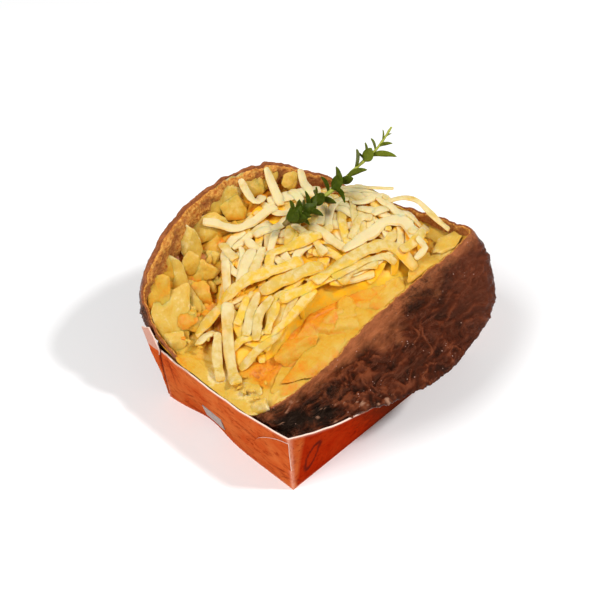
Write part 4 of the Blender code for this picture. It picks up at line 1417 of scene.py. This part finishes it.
def broken_flesh(colours):
    finish = Finish("broken_flesh", 0.36, 0.25)
    cloudy = finish.noise(5 * MM, 4.0, 0.6)
    grain = finish.noise(0.8 * MM, 5.0, 0.7)
    layers = finish.noise(1.3 * MM, 3.0, 0.6, 0.5, (1.0, 1.0, 0.22))
    level = finish.shifted(finish.painted("pale"), cloudy, 0.3, 0.7, 0.22)
    level = finish.shifted(level, layers, 0.35, 0.65, 0.09)
    level = finish.shifted(level, grain, 0.35, 0.65, 0.09)
    # The lowest stop, the pockets' colour, is painted shade.
    stops = (colours.pocket_shade, colours.golden, colours.flesh, colours.pale, colours.edge)
    base = finish.ramp(finish.between(level, -0.6, 1.4), *zip((0.04, 0.27, 0.50, 0.76, 0.98), stops))
    finish.set("Base Color", base)
    finish.set("Roughness", finish.between(grain, 0.3, 0.7, 0.30, 0.50))
    finish.bump((layers, 0.20 * MM), (finish.noise(2.6 * MM, 3.0, 0.5), 0.30 * MM), (grain, 0.08 * MM))
    finish.translucent(0.5, 1.6 * MM, (1.0, 0.55, 0.20))
    return finish.material


class BuildFlesh(bpy.types.Operator):
    """Builds the bed of flesh and the slabs that stand in it"""

    bl_idname = "baked_potato.build_flesh"
    bl_label = "Flesh"

    def execute(self, context):
        finish = broken_flesh(context.scene.potato_body)
        case = CaseShape(context.scene.potato_case)
        finished(scene_object("bed", bed_mesh(case), finish), "potato_flesh", "potato_flesh", "potato")
        slabs = []
        for seed, (middle, facing, turn, *size, pale) in enumerate(FLESH_SLABS, 1):
            slabs.append(slab_mesh(np.array(middle) * MM, facing, turn, size, pale, seed))
        slabs += self.loose_slabs(len(FLESH_SLABS))
        plates = joined("slabs", slabs)
        press_inside(plates, PotatoShape(case, BED_COLUMNS))
        plates.set_sharp_from_angle(angle=SLAB_SHARP)
        finished(scene_object("slabs", plates, finish), "flesh_slabs", "potato_flesh", "potato")
        return {"FINISHED"}

    @staticmethod
    def loose_slabs(first_seed):
        """Smaller broken pieces, scattered where the flesh is open."""
        draw = np.random.default_rng(12)
        made = []
        for k in range(LOOSE_SLABS):
            along = draw.uniform(0, 1)
            if k % 9:
                x, y = -41 + 65 * along, 27 + 17 * along**0.6 + draw.normal(0, 2.5)
                z = height_near(FLESH_MARKS, x * MM, y * MM) + draw.uniform(0.0, 2.5) * MM
                size = (draw.uniform(2.0, 8.0), draw.uniform(2.5, 8.0), draw.uniform(0.9, 1.6))
            else:
                x, y = -47 + 10 * along**2, draw.uniform(-17, 24)
                z = height_near(FLESH_MARKS, x * MM, y * MM) + 1.0 * MM
                size = (draw.uniform(1.0, 2.6), draw.uniform(1.0, 2.2), draw.uniform(0.9, 1.5))
            facing = (draw.uniform(-190, -80), draw.uniform(15, 80))
            turn, pale = draw.uniform(-60, 60), draw.uniform(0.2, 0.9)
            middle = np.array([x * MM, y * MM, z])
            made.append(slab_mesh(middle, facing, turn, size, pale, first_seed + k + 1))
        return made


# ---- the grated cheese

GROUND_STEP = 0.5 * MM
GROUND_LOW = (-64 * MM, -60 * MM)
GROUND_COUNT = (270, 240)
STRAND_STEP = 1.2 * MM
STRAND_FLATNESS = 0.36
STRAND_SLACK = 0.085 * MM
STRAND_SPAN = 0.36  # from a strand's middle to where it rests, as a share of its width
STRAND_BITE = 0.9 * MM  # how far what lies below may stand into its side
STRAND_TILT = 0.7
# Heights over what a strand lies on, as shares of its thickness: its middle line, and where the next one lies
STRAND_MIDDLE = 0.42
STRAND_TOP = 0.80
PATH_STEPS = 120
SPRUNG_STEPS = 22
WOBBLE_SCALE = 420.0
RAY_HEIGHT = 0.2
SETTLE_ROUNDS = 160
TRIES_PER_STRAND = 60
CORE_SHARE = 0.93


class Ground:
    """The height of what lies below, which each strand adds itself to."""

    def __init__(self, pieces):
        self.height = np.zeros(GROUND_COUNT)
        trees = []
        for obj in pieces:
            shape = bmesh.new()
            shape.from_mesh(obj.data)
            trees.append(BVHTree.FromBMesh(shape))
            shape.free()
        for i, j in np.ndindex(GROUND_COUNT):
            above = Vector((GROUND_LOW[0] + i * GROUND_STEP, GROUND_LOW[1] + j * GROUND_STEP, RAY_HEIGHT))
            for tree in trees:
                place = tree.ray_cast(above, Vector((0, 0, -1)))[0]
                if place is not None:
                    self.height[i, j] = max(self.height[i, j], place.z)

    def index(self, x, y):
        i = np.clip(np.rint((x - GROUND_LOW[0]) / GROUND_STEP).astype(int), 0, GROUND_COUNT[0] - 1)
        j = np.clip(np.rint((y - GROUND_LOW[1]) / GROUND_STEP).astype(int), 0, GROUND_COUNT[1] - 1)
        return i, j

    def at(self, x, y):
        return self.height[self.index(x, y)]

    def settle(self, path, width):
        """Lays a strand along a plan path: the height of its middle line, and its tilt."""
        way = np.gradient(path, axis=0)
        way /= np.linalg.norm(way, axis=1, keepdims=True)
        left = points_at(-way[:, 1], way[:, 0]) * STRAND_SPAN * width
        high = self.at(*(path + left).T)
        low = self.at(*(path - left).T)
        middle = self.at(*path.T)
        rest = np.maximum(middle, (high + low) / 2)
        rest = np.maximum(rest, np.maximum(high, low) - STRAND_BITE)
        line = rest.copy()
        for _ in range(SETTLE_ROUNDS):
            line[1:-1] = np.maximum(rest[1:-1], (line[:-2] + line[2:]) / 2 - STRAND_SLACK)
            line[0] = max(rest[0], 2 * line[1] - line[2] - 2 * STRAND_SLACK)
            line[-1] = max(rest[-1], 2 * line[-2] - line[-3] - 2 * STRAND_SLACK)
        soft = line.copy()
        soft[1:-1] = (line[:-2] + 2 * line[1:-1] + line[2:]) / 4
        tilt = np.clip((high - low) / (2 * STRAND_SPAN * width), -STRAND_TILT, STRAND_TILT)
        for _ in range(6):
            tilt[1:-1] = (tilt[:-2] + 2 * tilt[1:-1] + tilt[2:]) / 4
        return soft, np.arctan(tilt * 0.8)

    def stamp(self, path, top, width):
        """Raises the ground to the strand's top, a little lower towards its edges."""
        reach = math.ceil(width / 2 / GROUND_STEP) + 1
        i, j = self.index(*path.T)
        for ci, cj, (x, y), z in zip(i, j, path, top):
            span_i = np.arange(max(ci - reach, 0), min(ci + reach + 1, GROUND_COUNT[0]))
            span_j = np.arange(max(cj - reach, 0), min(cj + reach + 1, GROUND_COUNT[1]))
            dx = GROUND_LOW[0] + span_i[:, None] * GROUND_STEP - x
            dy = GROUND_LOW[1] + span_j[None, :] * GROUND_STEP - y
            far = np.hypot(dx, dy) / (width / 2)
            cover = np.where(far < 1.0, z - 0.5 * MM * far**4, 0.0)
            patch = self.height[span_i[0] : span_i[-1] + 1, span_j[0] : span_j[-1] + 1]
            np.maximum(patch, cover, out=patch)


def even_path(points):
    """Evenly spaced points along the curve through these."""
    fine = curve_through(np.array(points) * MM, PATH_STEPS)
    run = np.insert(np.cumsum(np.linalg.norm(np.diff(fine, axis=0), axis=1)), 0, 0.0)
    count = max(round(run[-1] / STRAND_STEP), 5)
    places = np.linspace(0, run[-1], count + 1)
    return np.stack([np.interp(places, run, fine[:, axis]) for axis in (0, 1)], axis=-1)


def loose_path(draw):
    """A strand that fell at random inside the heap's outline, or None when it would stick out."""
    start = np.array([draw.uniform(-42, 50), draw.uniform(-18, 40)])
    heading = draw.uniform(0, 2 * np.pi)
    span = draw.uniform(18, 40)
    curl = draw.normal(0, 1.1)
    steps = max(int(span * MM / STRAND_STEP), 6)
    sway = 0.25 * np.sin(np.linspace(0, draw.uniform(2, 7), steps))
    turn = heading + curl * np.linspace(0, 1, steps) + sway
    walk = np.cumsum(points_at(np.cos(turn), np.sin(turn)), axis=0) * STRAND_STEP
    path = start * MM + walk
    inner = np.array(HEAP_OUTLINE) * MM
    for share, tip in ((0.94, path), (0.80, path[len(path) // 2 : len(path) // 2 + 1])):
        outline = spline(HEAP_CENTRE + (inner - HEAP_CENTRE) * share, np.linspace(0, len(inner), 60), True)
        if not inside_outline(tip, outline).all():
            return None
    return path


def inside_outline(points, outline):
    """Whether each point lies within a closed outline."""
    x, y = points[:, 0][:, None], points[:, 1][:, None]
    ax, ay = outline[:, 0], outline[:, 1]
    bx, by = np.roll(ax, -1), np.roll(ay, -1)
    crosses = (ay > y) != (by > y)
    at = ax + (y - ay) * (bx - ax) / np.where(np.abs(by - ay) < 1e-12, 1e-12, by - ay)
    return np.sum(crosses & (x < at), axis=1) % 2 == 1


def core_mesh(settings):
    """The heap's core, below its strands."""
    columns, rings = 128, 44
    outline = np.array(HEAP_OUTLINE) * MM
    edge = spline(outline, np.linspace(0, len(outline), columns, endpoint=False), True)
    part = np.linspace(0, 1, rings + 1)[1:][:, None]
    x = HEAP_CENTRE[0] + (edge[:, 0] - HEAP_CENTRE[0]) * part * CORE_SHARE
    y = HEAP_CENTRE[1] + (edge[:, 1] - HEAP_CENTRE[1]) * part * CORE_SHARE
    floor = height_near(FLESH_MARKS, x, y) - 2.0 * MM
    top = height_near(HEAP_MARKS, x, y) - settings.depth
    top = top + 0.8 * MM * noise_at(points_at(x, y, top), 6 * MM, 2)
    over = floor + np.maximum(top - floor, 0.0) * (1 - part**9)
    low, high = points_at(x, y, floor - 0.5 * MM), points_at(x, y, over)
    rise = float(height_near(HEAP_MARKS, *HEAP_CENTRE)) - settings.depth
    fall = float(height_near(FLESH_MARKS, *HEAP_CENTRE)) - 2.5 * MM
    poles = [(*HEAP_CENTRE, fall), (*HEAP_CENTRE, rise)]
    return closed_surface("cheese_core", np.concatenate([low, high[::-1]]), *poles)


def strand_tree(finish):
    """Turns laid lines into strands with a rounded rectangular section, uneven faces and their own tone."""
    sizes = [
        ("Strand Width", "NodeSocketFloat", 1.0 * MM),
        ("Strand Thickness", "NodeSocketFloat", 0.6 * MM),
        ("Corner", "NodeSocketFloat", 0.2 * MM),
        ("Unevenness", "NodeSocketFloat", 0.2 * MM),
        ("Seed", "NodeSocketInt", 1),
    ]
    tree, given, out = shape_tree("cheese_strands", sizes)
    given = given.outputs
    inputs = {"Width": given["Strand Width"], "Height": given["Strand Thickness"]}
    section = add(tree, "GeometryNodeCurvePrimitiveQuadrilateral", inputs)
    inputs = {"Curve": section, "Radius": given["Corner"], "Count": 2, "Limit Radius": True}
    rounded = add(tree, "GeometryNodeFilletCurve", inputs, mode="POLY")
    level = add(tree, "GeometryNodeSetCurveNormal", {"Curve": given["Geometry"]}, mode="Z_UP")
    strand = swept(tree, level, rounded)
    place = add(tree, "GeometryNodeInputPosition")
    wobble = add(tree, "ShaderNodeTexNoise", {"Vector": place, "Scale": WOBBLE_SCALE, "Detail": 2.0})
    inputs = {0: wobble.outputs["Color"], 1: (0.5, 0.5, 0.5)}
    centred = add(tree, "ShaderNodeVectorMath", inputs, operation="SUBTRACT")
    inputs = {0: centred, "Scale": given["Unevenness"]}
    moved = add(tree, "ShaderNodeVectorMath", inputs, operation="SCALE")
    uneven = add(tree, "GeometryNodeSetPosition", {"Geometry": strand, "Offset": moved})
    island = add(tree, "GeometryNodeInputMeshIsland")
    inputs = {"ID": island, "Seed": given["Seed"]}
    drawn = add(tree, "FunctionNodeRandomValue", inputs, data_type="FLOAT")
    inputs = {"Geometry": uneven, "Name": "tone", "Value": drawn.outputs[1]}
    toned = add(tree, "GeometryNodeStoreNamedAttribute", inputs, data_type="FLOAT", domain="POINT")
    end_tree(tree, out, toned, finish)
    return tree


def grated_cheese(colours):
    finish = Finish("grated_cheese", 0.34, 0.10)
    axes = finish.axes()
    back = finish.between(axes["X"], -24 * MM, 34 * MM)
    side = finish.between(axes["Y"], -6 * MM, 30 * MM)
    cloudy = finish.noise(5 * MM, 3.0)
    level = finish.shifted(finish.maths("MAXIMUM", back, side), cloudy, 0.3, 0.7, 0.35)
    level = finish.shifted(level, finish.painted("tone"), 0.0, 1.0, 0.8)
    stops = (colours.butter, colours.cream, colours.white)
    base = finish.ramp(finish.between(level, -0.5, 1.5), *zip((0.20, 0.50, 0.80), stops))
    # Painted highlights: pale patches at random over the strands.
    base = finish.coat(base, colours.white, finish.noise(2.6 * MM, 3.0, 0.55, 0.4), 0.44, 0.64, 0.0, 0.65)
    # Painted shade between the strands, in the deep colour.
    base = finish.blend(finish.maths("MULTIPLY", finish.painted("buried"), 0.9), base, colours.deep)
    finish.set("Base Color", base)
    fine = finish.noise(0.9 * MM, 3.0)
    finish.set("Roughness", finish.between(cloudy, 0.3, 0.7, 0.26, 0.42))
    finish.bump((finish.noise(2.0 * MM, 3.0), 0.22 * MM), (fine, 0.05 * MM))
    finish.translucent(0.6, 1.7 * MM, (1.0, 0.62, 0.24))
    return finish.material


def melted_core(colours):
    finish = Finish("cheese_core", 0.4, 0.2)
    cloudy = finish.noise(4 * MM, 3.0)
    finish.set("Base Color", finish.coat(colours.deep, colours.butter, cloudy, 0.35, 0.65))
    finish.bump((cloudy, 0.5 * MM))
    finish.translucent(0.4, 2.4 * MM, (1.0, 0.55, 0.16))
    return finish.material


class BuildCheese(bpy.types.Operator):
    """Lays strands of grated cheese over the heap's core"""

    bl_idname = "baked_potato.build_cheese"
    bl_label = "Grated cheese"

    def execute(self, context):
        settings = context.scene.potato_cheese
        core = scene_object("core", core_mesh(settings), melted_core(settings))
        core = finished(core, "cheese_core", "cheese", "cheese_heap")
        names = ("potato_skin", "potato_flesh", "flesh_slabs")
        ground = Ground([core] + [bpy.data.objects[name] for name in names])
        draw = np.random.default_rng(settings.seed)
        strands = []
        tries = 0
        while len(strands) < settings.loose_strands and tries < TRIES_PER_STRAND * settings.loose_strands:
            tries += 1
            path = loose_path(draw)
            if path is not None:
                self.lay(ground, strands, path, draw.uniform(2.7, 4.5) * MM, settings.headroom)
        for width, *points in LAID_STRANDS:
            self.lay(ground, strands, even_path(points), width * MM)
        for width, *points in SPRUNG_STRANDS:
            places, width = curve_through(np.array(points) * MM, SPRUNG_STEPS), width * MM
            rest, tilt = ground.settle(places[:, :2], width)
            height = np.maximum(places[:, 2], rest + STRAND_FLATNESS * width * STRAND_MIDDLE)
            strands.append((places[:, :2], width, height, tilt * 0.0))
        guide = scene_object("strand_lines", self.strand_lines(strands))
        run_tree(
            guide,
            strand_tree(grated_cheese(settings)),
            strand_width=1.0 * MM,
            strand_thickness=STRAND_FLATNESS * MM,
            corner=0.20 * MM,
            unevenness=settings.unevenness,
            seed=settings.seed,
        )
        made = finished(guide, "cheese_strands", "cheese", "cheese_heap")
        x, y, z = at_vertices(made.data, "co").T
        # Painted shade: the strands' sides and undersides, and strands lying deep in the heap, take the deep
        # colour.
        under = 0.85 * smoothstep(0.80, -0.10, at_vertices(made.data, "normal")[:, 2])
        paint(made.data, "buried", np.maximum(under, smoothstep(0.4 * MM, 2.2 * MM, ground.at(x, y) - z)))
        return {"FINISHED"}

    @staticmethod
    def lay(ground, strands, path, width, headroom=None):
        """Lays one strand on what is there, unless it would reach into the headroom."""
        thickness = STRAND_FLATNESS * width
        rest, tilt = ground.settle(path, width)
        if headroom is not None:
            spare = height_near(HEAP_MARKS, *path.T) - rest - thickness
            if spare.min() <= headroom:
                return
        ground.stamp(path, rest + thickness * STRAND_TOP, width)
        strands.append((path, width, rest + thickness * STRAND_MIDDLE, tilt))

    @staticmethod
    def strand_lines(strands):
        """The middle lines as one curve, whose radius is each strand's width in millimetres."""
        curve = bpy.data.curves.new("strand_lines", "CURVE")
        curve.dimensions = "3D"
        curve.twist_mode = "Z_UP"
        for path, width, height, tilt in strands:
            middle = np.column_stack([path, height])
            first, last = middle[0] - middle[1], middle[-1] - middle[-2]
            tips = [
                (middle[0] + 0.22 * first, 0.42),
                (middle[0], 0.74),
                (middle[1], 0.94),
                *((point, 1.0) for point in middle[2:-2]),
                (middle[-2], 0.96),
                (middle[-1], 0.80),
                (middle[-1] + 0.20 * last, 0.50),
            ]
            tilts = [tilt[0], *tilt, tilt[-1]]
            uneven = 1.0 + 0.24 * noise_at(np.array([place for place, _ in tips]), 6 * MM, 2)
            line = curve.splines.new("POLY")
            line.points.add(len(tips) - 1)
            for point, (place, share), turn, wide in zip(line.points, tips, tilts, uneven):
                point.co = (*place, 1.0)
                point.radius = share * wide * width / MM
                point.tilt = turn
        return curve


# ---- the sprig of thyme


def stem_tree(finish):
    """Sweeps a round section along the stem."""
    tree, given, out = shape_tree("thyme_stem", [("Stem Radius", "NodeSocketFloat", 0.75 * MM)])
    inputs = {"Resolution": 12, "Radius": given.outputs["Stem Radius"]}
    ring = add(tree, "GeometryNodeCurvePrimitiveCircle", inputs)
    end_tree(tree, out, swept(tree, given, ring), finish)
    return tree


def leaf_tree(finish):
    """Puts a leaf on every point, turned and scaled as the point says."""
    sizes = [("Leaf", "NodeSocketObject", None), ("Leaf Size", "NodeSocketFloat", 1.0)]
    tree, given, out = shape_tree("thyme_leaves", sizes)
    leaf = add(tree, "GeometryNodeObjectInfo", {"Object": given.outputs["Leaf"]})
    turn = add(tree, "GeometryNodeInputNamedAttribute", {"Name": "turn"}, data_type="FLOAT_VECTOR")
    size = add(tree, "GeometryNodeInputNamedAttribute", {"Name": "size"}, data_type="FLOAT_VECTOR")
    inputs = {0: size, "Scale": given.outputs["Leaf Size"]}
    scaled = add(tree, "ShaderNodeVectorMath", inputs, operation="SCALE")
    turned = add(tree, "FunctionNodeEulerToRotation", {"Euler": turn})
    inputs = {"Points": given, "Instance": leaf.outputs["Geometry"], "Rotation": turned, "Scale": scaled}
    end_tree(tree, out, add(tree, "GeometryNodeInstanceOnPoints", inputs), finish)
    return tree


def leaf_mesh():
    """One leaf of unit length: an oval blade, folded along its midrib, with rolled edges and a stalk."""
    rows, count = 14, 20
    along = np.linspace(0.0, 1.0, rows + 2)[1:-1]
    blade = np.clip((along - 0.10) / 0.90, 0.0, 1.0)
    half = 0.045 + 0.46 * np.sin(np.pi * blade**0.85) ** 0.75 * (blade > 0)
    angle = np.linspace(0, 2 * np.pi, count, endpoint=False)
    rings = []
    for place, width in zip(along, half):
        across = np.cos(angle) * width
        thick = 0.045 + 0.015 * np.cos(np.pi * place)
        fold = 0.30 * np.abs(across) - 0.22 * across**2 * 4 * 0.3
        rise = np.sin(angle) * thick * (1 - 0.35 * (np.abs(np.cos(angle)) ** 4)) + fold
        rings.append(points_at(place, across, rise - 0.16 * place**2))
    return closed_surface("leaf", np.stack(rings), (0.0, 0.0, 0.0), (1.02, 0.0, -0.15))


def green_stem(colours):
    finish = Finish("thyme_stem", 0.5, 0.2)
    young = finish.between(finish.axes()["X"], 4 * MM, 22 * MM)
    streak = finish.noise(0.9 * MM, 3.0)
    base = finish.blend(young, colours.foot, colours.stem)
    finish.set("Base Color", finish.coat(base, tinted(colours.stem, 0.55), streak, 0.4, 0.7, 0.0, 0.5))
    finish.bump((streak, 0.1 * MM))
    return finish.material


def green_leaf(colours):
    finish = Finish("thyme_leaf", 0.38, 0.09)
    young = finish.between(finish.axes()["X"], 22 * MM, 58 * MM)
    mottled = finish.noise(1.6 * MM, 4.0)
    level = finish.shifted(young, mottled, 0.3, 0.7, 0.3)
    base = finish.coat(colours.leaf, colours.young_leaf, level, 0.0, 1.0)
    finish.set("Base Color", finish.coat(base, tinted(colours.leaf, 0.4), mottled, 0.55, 0.75, 0.0, 0.5))
    finish.bump((finish.noise(0.7 * MM, 3.0), 0.08 * MM))
    finish.translucent(0.15, 0.8 * MM, (0.5, 1.0, 0.2))
    return finish.material


class BuildThyme(bpy.types.Operator):
    """Builds the sprig of thyme: its stem and its leaves"""

    bl_idname = "baked_potato.build_thyme"
    bl_label = "Sprig of thyme"

    def execute(self, context):
        settings = context.scene.potato_thyme
        curve = bpy.data.curves.new("stem_line", "CURVE")
        curve.dimensions = "3D"
        line = curve.splines.new("POLY")
        steps = 60
        line.points.add(steps)
        route = self.route(np.linspace(0, 1, steps + 1))
        for k, point in enumerate(line.points):
            point.co = (*route[k], 1.0)
            knot = 0.16 * math.sin(math.pi * 11 * k / steps) ** 8
            point.radius = 1.0 - 0.60 * (k / steps) + knot
        stem = scene_object("stem_line", curve)
        run_tree(stem, stem_tree(green_stem(settings)), stem_radius=settings.stem_radius)
        finished(stem, "thyme_stem", "herb", "thyme_sprig")

        leaf = scene_object("leaf_shape", leaf_mesh())
        points = scene_object("leaf_points", self.leaf_points())
        run_tree(points, leaf_tree(green_leaf(settings)), leaf=leaf, leaf_size=settings.leaf_size)
        finished(points, "thyme_leaves", "herb", "thyme_sprig")
        bpy.data.objects.remove(leaf, do_unlink=True)
        return {"FINISHED"}

    @staticmethod
    def route(part):
        points = spline(SPRIG_ROUTE, part * (len(SPRIG_ROUTE) - 1)) * MM
        return points + points_at(0.0, 0.35 * MM * np.sin(14 * part), 0.25 * MM * np.sin(19 * part + 1.0))

    def leaf_points(self):
        """One point for each leaf, with its turn and size."""
        places, turns, sizes = [], [], []
        for part, turn, pitch, long, wide in LEAVES:
            before, here, after = self.route(np.array([max(part - 0.02, 0), part, min(part + 0.02, 1)]))
            along = Vector(after - before).normalized()
            level = Vector((0, 0, 1)).cross(along).normalized()
            above = along.cross(level)
            turn, pitch = math.radians(turn), math.radians(pitch)
            spread = level * math.cos(turn) + above * math.sin(turn)
            if spread.z < -0.2 and part < 0.5:
                spread = (spread - Vector((0, 0, 1)) * (spread.z + 0.2)).normalized()
            forward = (along * math.cos(pitch) + spread * math.sin(pitch)).normalized()
            face = forward.cross(along).normalized().cross(forward)
            side = face.cross(forward)
            matrix = Matrix((forward, side, face)).transposed()
            places.append(here)
            turns.append(tuple(matrix.to_euler()))
            sizes.append((long * MM, wide * MM, long * MM))
        mesh = new_mesh("leaf_points", places)
        for name, values in (("turn", turns), ("size", sizes)):
            store = mesh.attributes.new(name, "FLOAT_VECTOR", "POINT")
            store.data.foreach_set("vector", np.array(values, np.float32).ravel())
        return mesh


# ---- the stage

# The floor's reach, how bright the surroundings look to the camera, the place it looks at, and the lamps: all
# places are measured from the middle of the CAD model
FLOOR_REACH = 8.0
BACKDROP = 0.95
AIM = Vector((-6.8, 7.3, -4.0)) * MM
KEY_PLACE = Vector((-0.62, 0.10, 0.80))
KEY_SIZE = 0.55
GLINT_PLACE = Vector((0.28, -0.52, 0.80))
GLINT_SIZE = 0.12
SENSOR_WIDTH = 36.0


class BuildStage(bpy.types.Operator):
    """Sets the floor, the soft lights and the camera"""

    bl_idname = "baked_potato.build_stage"
    bl_label = "Floor, lights and camera"

    def execute(self, context):
        settings = context.scene.potato_stage
        scene = context.scene
        middle = (CAD_LOW + CAD_HIGH) / 2
        target = middle + AIM

        finish = Finish("studio_floor", 0.9, 0.1)
        floor = tuple(settings.floor)
        finish.set("Base Color", finish.blend(finish.noise(0.4, 2.0), floor, tinted(floor, 0.985)))
        corners = np.array([(-1, -1, 0), (1, -1, 0), (1, 1, 0), (-1, 1, 0)]) * FLOOR_REACH
        mesh = new_mesh("floor", corners, [(0, 1, 2, 3)])
        scene_object("floor", mesh, finish.material)

        world = bpy.data.worlds.new("studio")
        world.use_nodes = True
        tree = world.node_tree
        seen = add(tree, "ShaderNodeLightPath")
        inputs = {"Value": seen.outputs["Is Camera Ray"], "To Min": settings.surroundings, "To Max": BACKDROP}
        strength = add(tree, "ShaderNodeMapRange", inputs)
        glow = tree.nodes["Background"]
        glow.inputs["Color"].default_value = (1.0, 0.99, 0.98, 1.0)
        feed(tree, glow.inputs["Strength"], strength)
        scene.world = world

        for name, place, power, size in (
            ("key", KEY_PLACE, settings.key_power, KEY_SIZE),
            ("glint", GLINT_PLACE, settings.glint_power, GLINT_SIZE),
        ):
            lamp = bpy.data.lights.new(name, "AREA")
            lamp.energy = power
            lamp.size = size
            obj = scene_object(name, lamp)
            obj.location = middle + place
            obj.rotation_euler = place.to_track_quat("Z", "Y").to_euler()

        camera = bpy.data.cameras.new("camera")
        camera.lens = settings.lens
        camera.sensor_width = SENSOR_WIDTH
        camera.clip_start = 0.01
        seat = scene_object("camera", camera)
        azimuth, flat = settings.azimuth, math.cos(settings.elevation)
        back = Vector((math.sin(azimuth) * flat, -math.cos(azimuth) * flat, math.sin(settings.elevation)))
        seat.location = target + back * settings.distance
        seat.rotation_euler = (-back).to_track_quat("-Z", "Y").to_euler()
        scene.camera = seat
        scene.view_settings.view_transform = "Standard"
        return {"FINISHED"}


# ---- the add-on

PIECES = (BuildCase, BuildSkin, BuildFlesh, BuildCheese, BuildThyme, BuildStage)
SETTINGS = {
    "potato_case": CaseSettings,
    "potato_body": PotatoSettings,
    "potato_cheese": CheeseSettings,
    "potato_thyme": ThymeSettings,
    "potato_stage": StageSettings,
}


class PotatoPanel(bpy.types.Panel):
    """Lists the sizes and colours, and a button for each piece."""

    bl_idname = "VIEW3D_PT_baked_potato"
    bl_label = "Baked potato"
    bl_space_type = "VIEW_3D"
    bl_region_type = "UI"
    bl_category = "Baked potato"

    def draw(self, context):
        for name, settings in SETTINGS.items():
            box = self.layout.box()
            box.label(text=settings.__doc__.rstrip("."))
            for key in settings.__annotations__:
                box.prop(getattr(context.scene, name), key)
        for operator in PIECES:
            self.layout.operator(operator.bl_idname)


def register():
    for settings in SETTINGS.values():
        bpy.utils.register_class(settings)
    for operator in PIECES:
        bpy.utils.register_class(operator)
    bpy.utils.register_class(PotatoPanel)
    for name, settings in SETTINGS.items():
        setattr(bpy.types.Scene, name, bpy.props.PointerProperty(type=settings))


def unregister():
    for name in SETTINGS:
        delattr(bpy.types.Scene, name)
    bpy.utils.unregister_class(PotatoPanel)
    for operator in reversed(PIECES):
        bpy.utils.unregister_class(operator)
    for settings in reversed(SETTINGS.values()):
        bpy.utils.unregister_class(settings)


def main():
    register()
    bpy.ops.baked_potato.build_case()
    bpy.ops.baked_potato.build_skin()
    bpy.ops.baked_potato.build_flesh()
    bpy.ops.baked_potato.build_cheese()
    bpy.ops.baked_potato.build_thyme()
    bpy.ops.baked_potato.build_stage()


if __name__ == "__main__":
    main()
